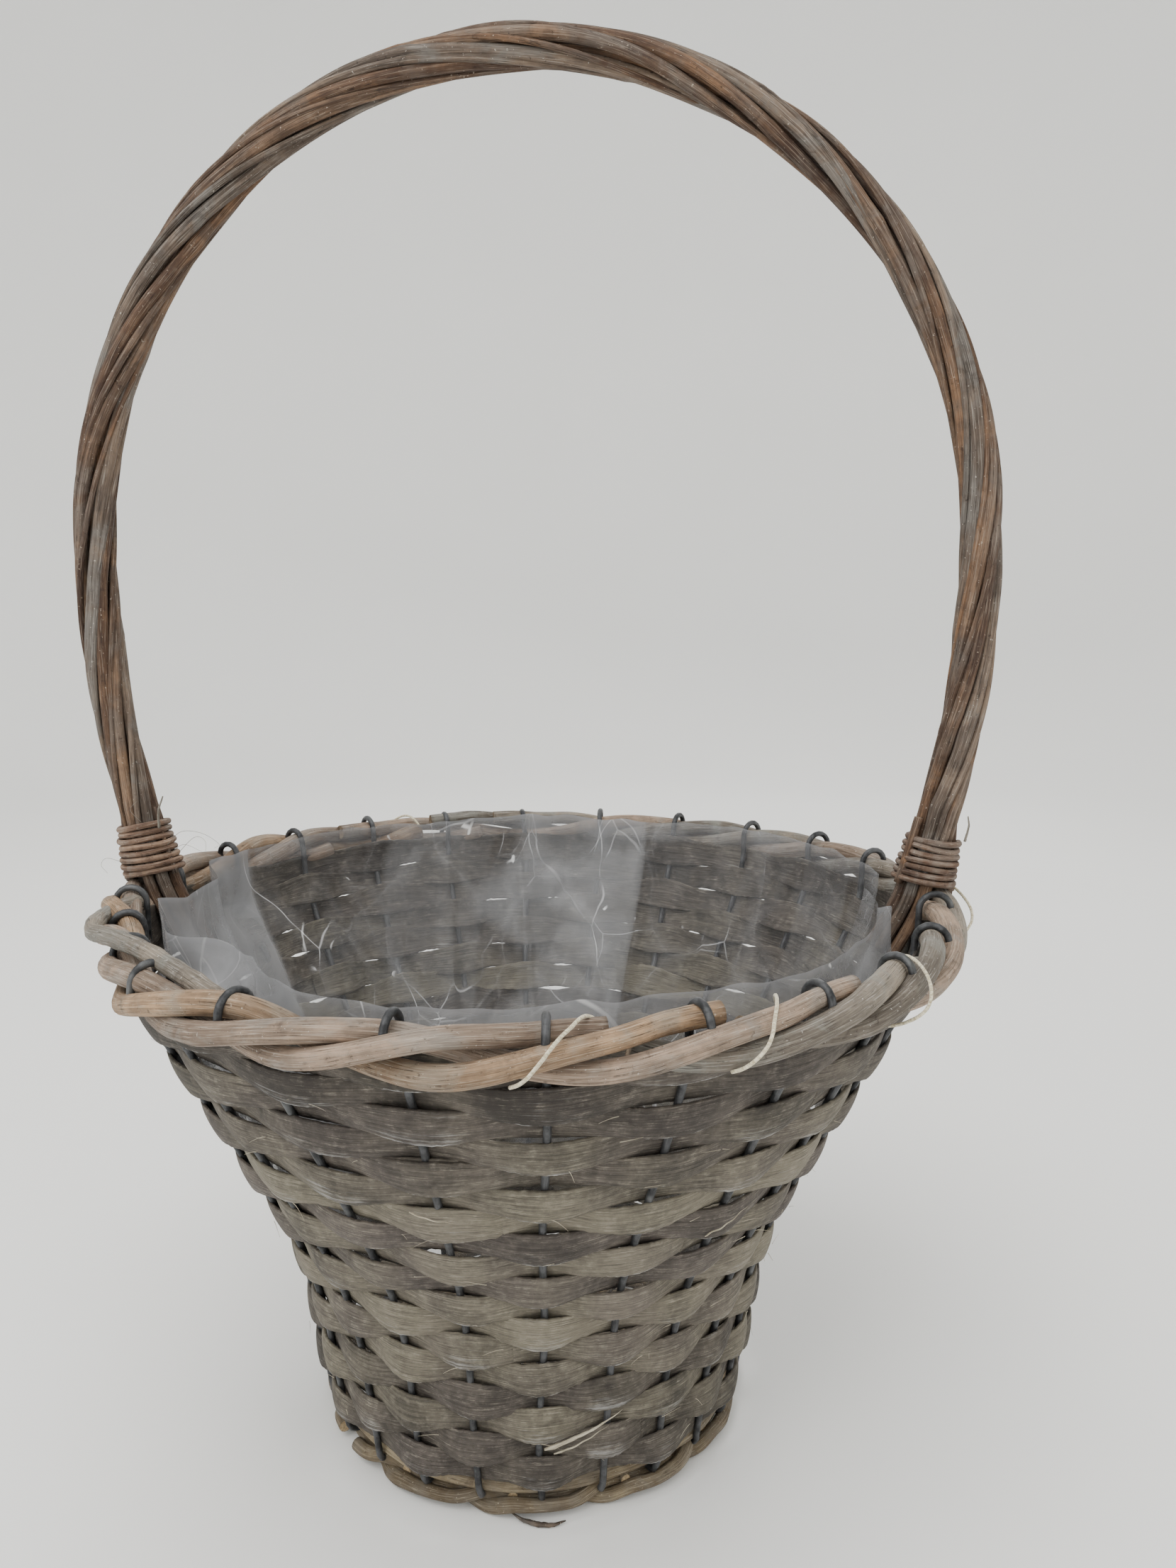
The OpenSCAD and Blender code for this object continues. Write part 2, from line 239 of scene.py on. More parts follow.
class Value:
    # a socket that can be used in sums
    def __init__(self, finish, socket):
        self.finish, self.socket = finish, socket

    def sum(self, operation, other=0.0, flipped=False):
        pair = (other, self) if flipped else (self, other)
        return self.finish.node("ShaderNodeMath", {"operation": operation}, {0: pair[0], 1: pair[1]})

    def __add__(self, other): return self.sum("ADD", other)
    def __sub__(self, other): return self.sum("SUBTRACT", other)
    def __rsub__(self, other): return self.sum("SUBTRACT", other, True)
    def __mul__(self, other): return self.sum("MULTIPLY", other)
    __radd__ = __add__
    __rmul__ = __mul__

    def high(self, other): return self.sum("MAXIMUM", other)
    def low(self, other): return self.sum("MINIMUM", other)

    def between(self, low, high):
        # 0 below low, 1 above high, smooth between
        return self.finish.node("ShaderNodeMapRange", {"interpolation_type": "SMOOTHSTEP"}, {0: self, 1: low, 2: high})


class Finish:
    # one material and its nodes
    def __init__(self, name):
        self.material = bpy.data.materials.new(name)
        self.material.use_nodes = True
        self.tree = self.material.node_tree
        self.tree.nodes.clear()
        self.end = self.tree.nodes.new("ShaderNodeOutputMaterial")

    def node(self, kind, settings=None, sockets=None, output=0):
        made = self.tree.nodes.new(kind)
        for key, value in (settings or {}).items():
            setattr(made, key, value)
        for key, value in (sockets or {}).items():
            if isinstance(value, Value):
                self.tree.links.new(value.socket, made.inputs[key])
            else:
                made.inputs[key].default_value = value
        return Value(self, made.outputs[output])

    def place(self): return self.node("ShaderNodeTexCoord", output="Object")
    def uv(self): return self.node("ShaderNodeUVMap", {"uv_map": "UVMap"})
    def attribute(self, name): return self.node("ShaderNodeAttribute", {"attribute_name": name}, output="Fac")

    def stretched(self, vector, by):
        return self.node("ShaderNodeVectorMath", {"operation": "MULTIPLY"}, {0: vector, 1: by})

    def noise(self, vector, scale=1.0, detail=3.0, rough=0.55, twist=0.0):
        return self.node("ShaderNodeTexNoise", None,
                         {"Vector": vector, "Scale": scale, "Detail": detail, "Roughness": rough, "Distortion": twist})

    def mix(self, share, first, second):
        return self.node("ShaderNodeMix", {"data_type": "RGBA", "clamp_factor": True},
                         {0: share, 6: first, 7: second}, output=2)

    def shine(self, sockets, bump=None, strength=0.3, distance=0.0004):
        if bump is not None:
            raised = {"Strength": strength, "Distance": distance, "Height": bump}
            sockets["Normal"] = self.node("ShaderNodeBump", None, raised)
        return self.node("ShaderNodeBsdfPrincipled", None, sockets)

    def done(self, shader):
        self.tree.links.new(shader.socket, self.end.inputs["Surface"])
        return self.material


def barkFinish(name, look):
    # weathered willow: long grain, bark blotches, grey wash, cracks and pale specks
    f = Finish(name)
    uv, place = f.uv(), f.place()
    tone = f.attribute("tone")
    long, fine = look["grainLong"], look["grainFine"]
    grain = f.noise(f.stretched(uv, (long, fine, 1)), 1, 5, 0.7)
    fibre = f.noise(f.stretched(uv, (long * 3.4, fine * 3.6, 1)), 1, 3, 0.65)
    crack = f.noise(f.stretched(uv, (long * 0.7, fine * 1.5, 1)), 1, 2, 0.5, 0.3)
    blotch = f.noise(place, look["blotch"], 5, 0.65, 0.4)
    patch = f.noise(place, look["patch"], 5, 0.65, 0.8)
    speck = f.noise(place, 950, 2, 0.5)
    pit = f.noise(place, 420, 3, 0.7)
    soot = f.noise(place, look["patch"] * 2.6, 4, 0.7, 1.0)
    base = f.mix((grain * 0.85 + blotch * 0.5 + tone * 0.14 - 0.16).between(0.28, 0.74), look["dark"], look["mid"])
    base = f.mix((blotch * 0.6 + grain * 0.5 + tone * 0.12).between(0.54, 0.80) * look["lightShare"], base, look["light"])
    base = f.mix((patch + (grain - 0.5) * 0.25).between(0.47, 0.62) * look["greyShare"], base, look["grey"])
    base = f.mix((fibre - 0.5).between(0.03, 0.18) * 0.42, base, look["pale"])
    base = f.mix((0.5 - fibre).between(0.02, 0.18) * 0.45, base, look["dark"])
    base = f.mix(speck.between(0.68, 0.75) * look["speckShare"], base, look["pale"])
    gap = 1 - (crack - 0.5).sum("ABSOLUTE").between(0.004, 0.022)
    base = f.mix(gap * soot.between(0.42, 0.60) * 0.8, base, look["deep"])
    base = f.mix(pit.between(0.64, 0.72) * 0.55, base, look["deep"])
    base = f.mix(soot.between(0.60, 0.74) * 0.5, base, look["deep"])
    height = grain * 0.6 + fibre * 0.3 + blotch * 0.5 - pit.between(0.60, 0.72) * 0.5 - gap * 0.6
    rough = 0.66 + 0.2 * blotch
    sockets = {"Base Color": base, "Roughness": rough, "Specular IOR Level": 0.3}
    return f.done(f.shine(sockets, height, look["bump"], 0.0006))


def cutFinish(name, colours):
    # the end grain of a cut rod
    f = Finish(name)
    place = f.place()
    grain = f.noise(place, 1400, 3, 0.6)
    stain = f.noise(place, 260, 3, 0.6)
    base = f.mix(grain.between(0.3, 0.7), colours[0], colours[1])
    base = f.mix(stain.between(0.45, 0.7) * 0.7, base, colours[2])
    return f.done(f.shine({"Base Color": base, "Roughness": 0.85, "Specular IOR Level": 0.2}, grain, 0.4, 0.0003))


borderGrain = dict(grainLong=26, grainFine=620, blotch=75, bump=0.55)
borderLooks = dict(
    warm=dict(borderGrain, dark=paint(98, 83, 71), mid=paint(142, 124, 108), light=paint(176, 151, 129),
              grey=paint(132, 127, 119), pale=paint(192, 184, 172), deep=paint(54, 45, 39),
              patch=38, lightShare=0.75, greyShare=0.6, speckShare=0.7),
    grey=dict(borderGrain, dark=paint(86, 79, 71), mid=paint(128, 119, 107), light=paint(153, 141, 124),
              grey=paint(122, 121, 114), pale=paint(186, 182, 174), deep=paint(50, 44, 40),
              patch=30, lightShare=0.6, greyShare=0.8, speckShare=0.7),
    tan=dict(borderGrain, dark=paint(100, 81, 63), mid=paint(146, 121, 96), light=paint(184, 152, 117),
             grey=paint(134, 127, 115), pale=paint(194, 182, 164), deep=paint(54, 43, 35),
             patch=42, lightShare=0.8, greyShare=0.5, speckShare=0.6))
handleGrain = dict(grainLong=22, grainFine=760, blotch=70, bump=0.55)
handleLooks = dict(
    brown=dict(handleGrain, dark=paint(62, 47, 38), mid=paint(105, 84, 68), light=paint(148, 118, 92),
               grey=paint(104, 97, 90), pale=paint(172, 159, 143), deep=paint(36, 29, 25),
               patch=34, lightShare=0.75, greyShare=0.5, speckShare=0.8),
    rust=dict(handleGrain, dark=paint(58, 42, 33), mid=paint(101, 77, 59), light=paint(146, 111, 81),
              grey=paint(98, 90, 82), pale=paint(168, 152, 135), deep=paint(33, 25, 21),
              patch=40, lightShare=0.7, greyShare=0.4, speckShare=0.7),
    ash=dict(handleGrain, dark=paint(62, 53, 46), mid=paint(102, 88, 77), light=paint(137, 117, 98),
             grey=paint(108, 104, 99), pale=paint(178, 170, 158), deep=paint(36, 30, 27),
             patch=26, lightShare=0.65, greyShare=0.75, speckShare=0.8))
floorLook = dict(dark=paint(80, 69, 54), mid=paint(124, 111, 89), light=paint(160, 146, 118),
                 grey=paint(108, 102, 92), pale=paint(178, 168, 148), deep=paint(62, 52, 42),
                 grainLong=26, grainFine=700, blotch=80, patch=40,
                 lightShare=0.8, greyShare=0.45, speckShare=0.6, bump=0.45)
caneLook = dict(dark=paint(76, 57, 46), mid=paint(122, 97, 80), light=paint(160, 134, 112),
                grey=paint(124, 114, 105), pale=paint(188, 176, 162), deep=paint(40, 30, 25),
                grainLong=40, grainFine=900, blotch=120, patch=60,
                lightShare=0.8, greyShare=0.55, speckShare=0.5, bump=0.4)

borderFinish = {name: barkFinish("borderWillow_" + name, look) for name, look in borderLooks.items()}
handleFinish = {name: barkFinish("handleWillow_" + name, look) for name, look in handleLooks.items()}
floorFinish = barkFinish("floorWillow", floorLook)
caneFinish = barkFinish("bindingCane", caneLook)
greyCut = cutFinish("greyCutEnd", (paint(108, 94, 80), paint(150, 134, 114), paint(78, 66, 56)))
paleCut = cutFinish("paleCutEnd", (paint(150, 128, 98), paint(196, 176, 142), paint(112, 94, 74)))
print("willow finishes made")


def chipFinish():
    # grey washed chip wood: fine long fibres, a tone for each bow, pale edges and a pale wash on the bows, each partly
    # weathering and partly painted highlight
    look = dict(dark=paint(48, 44, 40), mauve=paint(95, 87, 82), beige=paint(116, 109, 97),
                olive=paint(119, 113, 98), light=paint(164, 157, 142), washAndHighlight=paint(184, 184, 182),
                deep=paint(24, 22, 20))
    f = Finish("chipWood")
    uv, place = f.uv(), f.place()
    tone, hue, washAndHighlight, edge = (f.attribute(n) for n in ("tone", "hue", "washAndHighlight", "edge"))
    grain = f.noise(f.stretched(uv, (30, 760, 1)), 1, 5, 0.72)
    fibre = f.noise(f.stretched(uv, (85, 2300, 1)), 1, 4, 0.7)
    hair = f.noise(f.stretched(uv, (150, 5200, 1)), 1, 2, 0.6)
    cloud = f.noise(place, 48, 4, 0.62, 0.5)
    wide = f.noise(place, 20, 2, 0.5)
    mottle = f.noise(place, 300, 4, 0.7)
    tint = f.mix((hue + (wide - 0.5) * 0.9).between(0.15, 0.85), look["mauve"], look["olive"])
    tint = f.mix(cloud.between(0.4, 0.7) * 0.5, tint, look["beige"])
    shade = tone + (cloud - 0.5) * 0.8 + (grain - 0.5) + (mottle - 0.5) * 0.5
    base = f.mix(shade.between(0.0, 0.85), look["dark"], tint)
    lifted = (fibre - 0.5 + (mottle - 0.5) * 0.5 + (tone - 0.5) * 0.12).between(0.02, 0.24)
    base = f.mix(lifted * 0.46, base, look["light"])
    base = f.mix((0.5 - fibre).between(0.02, 0.15) * 0.62, base, look["dark"])
    base = f.mix((0.40 - hair).between(0.0, 0.12) * 0.6, base, look["deep"])
    streak = f.noise(f.stretched(uv, (46, 820, 1)), 1, 6, 0.78)
    # pale streaks on the bows: partly a weathered wash, partly painted highlight where the bows catch the light
    pale = (washAndHighlight * 0.60 + (streak - 0.5) * 2.6 + (cloud - 0.5) - 0.12).between(0.30, 0.95)
    base = f.mix(pale * 0.50, base, look["washAndHighlight"])
    # pale edges: partly worn, frayed fibre, partly painted highlight along the edges
    rim = (edge + (fibre - 0.5) * 0.9 + (streak - 0.5) * 1.2 + (mottle - 0.5) * 0.8).between(0.86, 1.2)
    base = f.mix(rim * 0.75, base, look["washAndHighlight"])
    height = grain * 0.8 + fibre * 0.5 + mottle * 0.25 + hair * 0.2
    sockets = {"Base Color": base, "Roughness": 0.72 + 0.16 * cloud, "Specular IOR Level": 0.3}
    return f.done(f.shine(sockets, height, 0.65, 0.0007))


chipWood = chipFinish()

# chip strips: each goes in and out of the stakes, and laps the one below

chip = dict(count=18, firstHeight=0.0215, pitch=0.0102, width=0.0142, lowest=0.92, narrow=0.0029, widthBow=0.0006,
            thick=0.0012, bow=0.00215, bowOut=(0.92, 1.25), dip=0.0003, drop=0.0005, sway=0.0006, ripple=0.00025,
            tilt=5.5, tiltSway=1.2, tiltBow=2.4, cup=0.0008, ragged=0.00014, worn=0.00022,
            lap=13.0, lapIn=0.00155, endPastStake=6, stepsPerGap=24, across=8)
stripEnds = {13: -104.0, 9: -58.0}  # azimuths of the ends that show in front
stripTones = [0.36, 0.34, 0.46, 0.40, 0.54, 0.52, 0.62, 0.62, 0.46, 0.58, 0.48, 0.68, 0.46, 0.48, 0.40, 0.42, 0.32, 0.34]
stripHues = [0.35, 0.40, 0.62, 0.32, 0.60, 0.52, 0.66, 0.64, 0.30, 0.58, 0.18, 0.78, 0.55, 0.38, 0.40, 0.25, 0.30, 0.20]


def chipStrip(i):
    c, gap = chip, 360 / basket["stakes"]
    turn = 360 + c["lap"]
    rng = np.random.default_rng(500 + i)
    # both ends are tucked behind a stake that this strip passes inside, or lie outside on some rows
    inside = (i + 1) % 2
    start = basket["firstStake"] + gap * (2 * int(rng.integers(0, 12)) + inside) - c["endPastStake"]
    start = stripEnds.get(i, start)
    centre = c["firstHeight"] + c["pitch"] * i
    bowTone, bowHue, bowDrop, bowTurn, bowWide = (rng.uniform(-1, 1, basket["stakes"]) for _ in range(5))
    bowWashAndHighlight = rng.uniform(0.0, 1.0, basket["stakes"])
    bowOut = rng.uniform(*c["bowOut"], basket["stakes"])
    meanRadius = float(wallRadius(centre))
    along = int(basket["stakes"] * c["stepsPerGap"] * turn / 360)
    bm = newGrid(along, c["across"], ("tone", "hue", "washAndHighlight", "edge"))

    def shape(t, s):
        az = start + turn * t
        loop = (az % 360) / 360
        spot = (az - basket["firstStake"]) / gap
        side = np.cos(np.pi * (spot + i))  # 1 outside a stake, -1 inside it
        near = np.round(spot).astype(int) % basket["stakes"]
        proud = np.maximum(side, 0)
        out = side * c["bow"] * np.where(side > 0, 1 + (bowOut[near] - 1) * proud, 1.0)
        squeeze = 1 - np.abs(side) ** 1.5  # most between two stakes
        lapped = smoothStep(1 - 1.15 * c["lap"] / turn, 1 - 0.55 * c["lap"] / turn, t)
        height = (centre + c["sway"] * wander(40 + i, loop, 2, 7, closed=True)
                  + c["ripple"] * wander(90 + i, loop, 12, 30, closed=True)
                  - c["dip"] * side + c["drop"] * bowDrop[near] * proud)
        width = (c["width"] * (1 + 0.04 * wander(140 + i, loop, 3, 12, closed=True))
                 - c["narrow"] * squeeze - c["widthBow"] * side + c["widthBow"] * bowWide[near] * proud)
        if i == 0:
            width = width * c["lowest"]
        row = np.round(2 * s)
        ragged = c["ragged"] * wander(240 + i, loop + 3 * row, 90, 330, 10)
        u = (s - 0.5) * width + ragged * np.abs(2 * s - 1)
        wall = wallLean(np.full_like(height, centre))
        lean = wall - np.radians(c["tilt"] + c["tiltSway"] * wander(290 + i, loop, 4, 10, closed=True)
                                 + c["tiltBow"] * bowTurn[near] * proud)
        cup = c["cup"] * (1 - (2 * s - 1) ** 2) * (0.75 + 0.6 * squeeze)
        away = out + cup - 0.5 * c["cup"] - c["lapIn"] * lapped
        radius = wallRadius(np.full_like(height, centre)) + (height - centre) * np.tan(wall)
        radius = radius + away * np.cos(lean) + u * np.sin(lean)
        z = height - away * np.sin(lean) + u * np.cos(lean)
        mask = smoothStep(-0.2, 0.9, side)
        tone = stripTones[i] + 0.15 * bowTone[near] * mask
        hue = stripHues[i] + 0.26 * bowHue[near] * mask
        # pale on the lower part of each outside bow: partly a weathered wash, partly painted highlight where the proud
        # bow catches the light
        washAndHighlight = bowWashAndHighlight[near] * mask * (0.25 + 0.75 * smoothStep(0.75, 0.0, s)) + 0.1 * mask
        # pale lower and upper edges, most on the outside bows: partly worn fibre, partly painted highlight
        edge = np.maximum(smoothStep(0.17, 0.0, s) * (0.50 + 0.62 * mask), smoothStep(0.95, 1.0, s) * 0.55)
        return polar(radius, az, z), {"tone": tone, "hue": hue, "washAndHighlight": washAndHighlight, "edge": edge}

    length = 2 * math.pi * meanRadius * turn / 360
    shapeGrid(bm, shape, length, c["width"])
    uv = bm.loops.layers.uv.active
    for face in bm.faces:
        for loop in face.loops:
            # another stretch of grain for each strip
            loop[uv].uv = loop[uv].uv + Vector((0.13 * i, 0.037 * i))
    bmesh.ops.recalc_face_normals(bm, faces=bm.faces[:])
    face = max(bm.faces, key=lambda f: f.calc_center_median().length)
    away = face.calc_center_median()
    if face.normal.dot(Vector((away.x, away.y, 0))) < 0:
        bmesh.ops.reverse_faces(bm, faces=bm.faces[:])
    piece = makePiece("wovenChip_%02d" % (i + 1), bm, [chipWood], ["chip_strip_%02d" % (i + 1)])
    thick = piece.modifiers.new("thick", "SOLIDIFY")
    thick.thickness, thick.offset, thick.use_even_offset = c["thick"], 0.0, False
    soft = piece.modifiers.new("worn", "BEVEL")
    soft.width, soft.segments, soft.limit_method, soft.angle_limit = c["worn"], 1, "ANGLE", math.radians(60)


for i in range(chip["count"]):
    chipStrip(i)
print("chip strips woven")

# stakes: wire, hooked round the hoop below and over the border above

wire = dict(radius=0.00125, hoopHook=0.0039, hoopCentre=(0.0795, 0.0114), hoopTurn=190, wave=0.0006,
            borderHook=0.0056, topHeight=0.2063, hookTurn=(180, 12), hookTail=(0.0026, 0.0052), sides=10,
            slants={14: -2.5, 15: -4.0, 16: -3.0})  # degrees that a wire leans at its top


def wireFinish():
    # dull galvanised wire with rubbed and dirty places
    f = Finish("stakeWire")
    uv, place = f.uv(), f.place()
    drawn = f.noise(f.stretched(uv, (120, 2600, 1)), 1, 3, 0.6)
    dirt = f.noise(place, 160, 4, 0.65)
    worn = f.noise(place, 60, 3, 0.6)
    base = f.mix(dirt.between(0.35, 0.65), paint(40, 41, 43), paint(80, 81, 83))
    base = f.mix(worn.between(0.55, 0.72) * 0.5, base, paint(122, 124, 124))
    base = f.mix((0.45 - drawn).between(0.0, 0.12) * 0.5, base, paint(28, 28, 30))
    sockets = {"Base Color": base, "Metallic": 0.7 - 0.3 * dirt, "Roughness": 0.36 + 0.3 * dirt}
    return f.done(f.shine(sockets, drawn + dirt, 0.2, 0.0002))


wireMetal = wireFinish()


def stakePath(k):
    rng = np.random.default_rng(900 + k)
    w, b = wire, basket
    skew, lift = rng.uniform(-0.0016, 0.0016), rng.uniform(0.0, 0.0014)
    wide = rng.uniform(0.96, 1.12)
    rz = []  # radius, height and shift sideways
    for a in np.radians(np.linspace(-b["steepLean"] - w["hoopTurn"], -b["steepLean"], 15)[:-1]):
        rz.append((w["hoopCentre"][0] + w["hoopHook"] * math.cos(a), w["hoopCentre"][1] + w["hoopHook"] * math.sin(a), 0.0))
    for z in np.linspace(0.012, 0.200, 44):
        rz.append((float(wallRadius(z)), z, w["wave"] * float(wander(950 + k, z / 0.2, 0.5, 2.5, 3))))
    turnR = w["borderHook"] * wide
    cx = float(wallRadius(w["topHeight"])) + turnR
    top = w["topHeight"] + lift
    for n, a in enumerate(np.radians(np.linspace(*w["hookTurn"], 17))):
        rz.append((cx + turnR * math.cos(a), top + turnR * math.sin(a), skew * n / 16))
    rz.append((cx + turnR * 1.02, top - w["hookTail"][0], skew * 1.2))
    rz.append((cx + turnR * 1.0, top - w["hookTail"][1], skew * 1.3))
    foot, slant = b["firstStake"] + 360 / b["stakes"] * k, w["slants"].get(k, 0.0)
    pts = []
    for r, z, shift in rz:
        az = foot + slant * float(smoothStep(0.09, 0.20, z))
        a = math.radians(az)
        r = r - float(tuck(az) * smoothStep(0.184, 0.202, z))
        pts.append(polar(r, az, z) + shift * np.array([-math.sin(a), math.cos(a), 0]))
    return resample(pts, 120)


bm = bmesh.new()
for k in range(basket["stakes"]):
    addRod(bm, stakePath(k), wire["radius"], wire["sides"], 1000 + k, lump=0.01, capMaterial=0)
makePiece("wireStakes", bm, [wireMetal], ["wire_stakes"])
print("stakes set")

# border: three strands of willow twisted round one another, with cut tails on top in front

border = dict(rodRadius=0.0038, taper=0.16, offset=0.00472, turns=8, hookSide=135.0, sway=0.0007,
              tailSide=118.0, tailHold=0.92, tailLift=0.0021, tailEnds=(-75.5, -45.5, -63.5), rodGap=1.2,
              kinds=("warm", "warm", "tan", "grey", "warm", "grey"), steps=230, sides=16)


def strandPoint(s, az, seed, lift, t):
    b = border
    turn = b["hookSide"] + b["turns"] * (az - basket["firstStake"]) + 120 * s
    over = (turn[-1] - b["tailSide"]) % 360
    over = over if over < 180 else 0
    # the cut end stays on top instead of turning down inside
    turn = turn - np.maximum(turn - (turn[-1] - over), 0) * b["tailHold"]
    turn = np.radians(turn + 9 * wander(seed + 7, t, 1, 4))
    reach = b["offset"] + lift
    r = basket["borderRadius"] - tuck(az) + reach * np.cos(turn) + b["sway"] * wander(seed + 8, t, 2, 7)
    z = basket["borderHeight"] + reach * np.sin(turn) + b["sway"] * wander(seed + 9, t, 2, 7)
    return polar(r, az, z)


for n in range(6):
    s = n % 3
    end = border["tailEnds"][s] + (0 if n < 3 else 180)
    t = np.linspace(0, 1, border["steps"])
    az = end - 180 + border["rodGap"] + (180 - 2 * border["rodGap"]) * t
    lift = border["tailLift"] * smoothStep(0.93, 0.985, t) + 0.0004 * wander(60 + n, t, 3, 9)
    path = strandPoint(s, az, 300 + 10 * n, lift, t)
    rng = np.random.default_rng(70 + n)
    radius = border["rodRadius"] * (1.04 - border["taper"] * t + 0.04 * wander(80 + n, t, 2, 6)) * rng.uniform(0.97, 1.03)
    bm = bmesh.new()
    addRod(bm, path, radius, border["sides"], 1100 + 20 * n, lump=0.035, knots=5, knotSize=0.13)
    finish = [borderFinish[border["kinds"][n]], greyCut]
    makePiece("borderRod_%d" % (n + 1), bm, finish, ["border_rod_%d" % (n + 1)])

# a rod end folded sharply back at the left, where it stands out as a spike; points are radius, azimuth, height
fold = dict(radius=0.0031, pinchAt=0.36, pinch=0.16, pinchWide=0.03, tip=0.35, steps=90, sides=14,
            points=((0.1520, 186, 0.2060), (0.1560, 194, 0.2075), (0.1594, 202, 0.2092), (0.1607, 207.2, 0.2100),
                    (0.1603, 209.2, 0.2104), (0.1585, 211.0, 0.2109), (0.1548, 216, 0.2118), (0.1524, 223, 0.2124),
                    (0.1524, 231, 0.2112), (0.1547, 240, 0.2085), (0.1575, 247, 0.2050)))
t = np.linspace(0, 1, fold["steps"])
pinched = 1 - fold["pinch"] * np.exp(-((t - fold["pinchAt"]) / fold["pinchWide"]) ** 2)
radius = fold["radius"] * pinched * (1 - fold["tip"] * smoothStep(0.85, 1.0, t))
bm = bmesh.new()
path = resample([polar(*point) for point in fold["points"]], fold["steps"])
addRod(bm, path, radius, fold["sides"], 1300, lump=0.05, knots=2)
makePiece("foldedRod", bm, [borderFinish["grey"], greyCut])
print("border twisted")

# handle: six willow rods twisted round a core rod

handle = dict(halfWidth=0.169, footHalfWidth=0.147, footHeight=0.203, footLean=27.5, foot=0.172,
              widest=0.134, crown=0.314, rodRadius=0.0026, offset=0.00523, twists=3, plainEnd=0.060,
              kinds=("rust", "ash", "brown", "rust", "ash", "brown"), steps=420, sides=12)
footSpread = dict(below=0.238, over=0.025, rod=0.006)  # how the rod outside the border leaves the others


def legX(z):
    h = handle
    above = h["halfWidth"] - (h["halfWidth"] - h["footHalfWidth"]) * (1 - (z - h["footHeight"]) / h["widest"]) ** 2
    below = h["footHalfWidth"] - (h["footHeight"] - z) * math.tan(math.radians(h["footLean"]))
    return np.where(z > h["footHeight"], above, below)


def spread(z, most):
    # from nothing at the top of the binding to most below it
    return np.where(z < footSpread["below"], most * (footSpread["below"] - z) / footSpread["over"], 0)


def spine():
    h = handle
    z = np.linspace(h["foot"], h["footHeight"] + h["widest"], 60, endpoint=False)
    left = np.stack([-legX(z), 0 * z, z], axis=-1)
    a = np.linspace(math.pi, 0, 200)
    height = h["footHeight"] + h["widest"] + (h["crown"] - h["widest"]) * np.sin(a)
    arch = np.stack([h["halfWidth"] * np.cos(a), 0 * a, height], axis=-1)
    right = left[::-1] * np.array([-1, 1, 1])
    return resample(np.vstack([left[::6], arch[::10], right[::6]]), h["steps"])


handleLine = spine()
handleRun = np.concatenate([[0], np.cumsum(np.linalg.norm(np.diff(handleLine, axis=0), axis=1))])
handleTime = handleRun / handleRun[-1]
handleTangent = np.gradient(handleLine, axis=0)
handleTangent /= np.linalg.norm(handleTangent, axis=1)[:, None]
handleOut = np.stack([-handleTangent[:, 2], 0 * handleTangent[:, 0], handleTangent[:, 0]], axis=-1)
twistFrom, twistTo = handle["plainEnd"], handleRun[-1] - handle["plainEnd"]
handleShare = np.clip((handleRun - twistFrom) / (twistTo - twistFrom), 0, 1)
handleFree = np.minimum(1, 12 * handleShare) * np.minimum(1, 12 * (1 - handleShare))  # 0 where the ends are bound


def roundHandle(at, uneven, reach):
    # a path round the handle's line, from an angle at its left foot, with an uneven twist
    angle = np.radians(at - 360 * handle["twists"] * handleShare + uneven * handleFree)[:, None]
    return handleLine + reach[:, None] * (np.cos(angle) * handleOut + np.sin(angle) * np.array([0, 1, 0]))


for j in range(6):
    seed = 400 + 10 * j
    reach = handle["offset"] * (1 + 0.07 * wander(seed + 1, handleTime, 3, 10))
    path = roundHandle(60 * j, 16 * wander(seed, handleTime, 2, 7), reach)
    thin = np.random.default_rng(600 + j).uniform(0.9, 1.08)
    radius = handle["rodRadius"] * thin * (1 + 0.07 * wander(620 + j, handleTime, 2, 6))
    if j == 0:
        # this rod stays outside the border
        z = path[:, 2]
        keep = (z > 0.2085) | (handleTime > 0.2) & (handleTime < 0.8)
        path[:, 0] += np.sign(path[:, 0]) * spread(z, footSpread["rod"])
        path, radius = path[keep], radius[keep]
    bm = bmesh.new()
    addRod(bm, path, radius, handle["sides"], 1400 + 20 * j, lump=0.05, knots=9, knotSize=0.15)
    finish = [handleFinish[handle["kinds"][j]], greyCut]
    makePiece("handleRod_%d" % (j + 1), bm, finish, ["handle_rod_%d" % (j + 1)])

# thinner rods in the grooves between the six: angle, finish and radius
fillers = dict(reach=0.0067, above=0.2145, sides=9,
               rods=((30, "ash", 0.00125), (90, "rust", 0.00115), (150, "brown", 0.0013),
                     (270, "ash", 0.0012), (330, "brown", 0.00115)))
for n, (groove, kind, thin) in enumerate(fillers["rods"]):
    reach = fillers["reach"] + 0.0002 * wander(670 + n, handleTime, 3, 9)
    path = roundHandle(groove, 5 * wander(660 + n, handleTime, 2, 6), reach)
    keep = path[:, 2] > fillers["above"]
    radius = thin * (1 + 0.08 * wander(680 + n, handleTime, 2, 7))
    bm = bmesh.new()
    addRod(bm, path[keep], radius[keep], fillers["sides"], 1560 + 10 * n, lump=0.06, knots=6, knotSize=0.2)
    makePiece("handleFiller_%d" % (n + 1), bm, [handleFinish[kind], greyCut])
bm = bmesh.new()
addRod(bm, handleLine, handle["rodRadius"], 10, 1540, lump=0.04)
makePiece("handleCore", bm, [handleFinish["rust"], greyCut], ["handle_core_rod"])
print("handle twisted")

# bindings: cane wound round the feet of the handle

binding = dict(radius=0.00122, pitch=0.00256, bottom=0.2130, spread=0.0047, reach=0.00905, tighter=0.0005,
               tilt=0.0021, uneven=0.0003, stepsPerTurn=30, sides=9,
               wound=(("left", -1, 8, 700), ("right", 1, 7, 720)))  # side, turns and seed


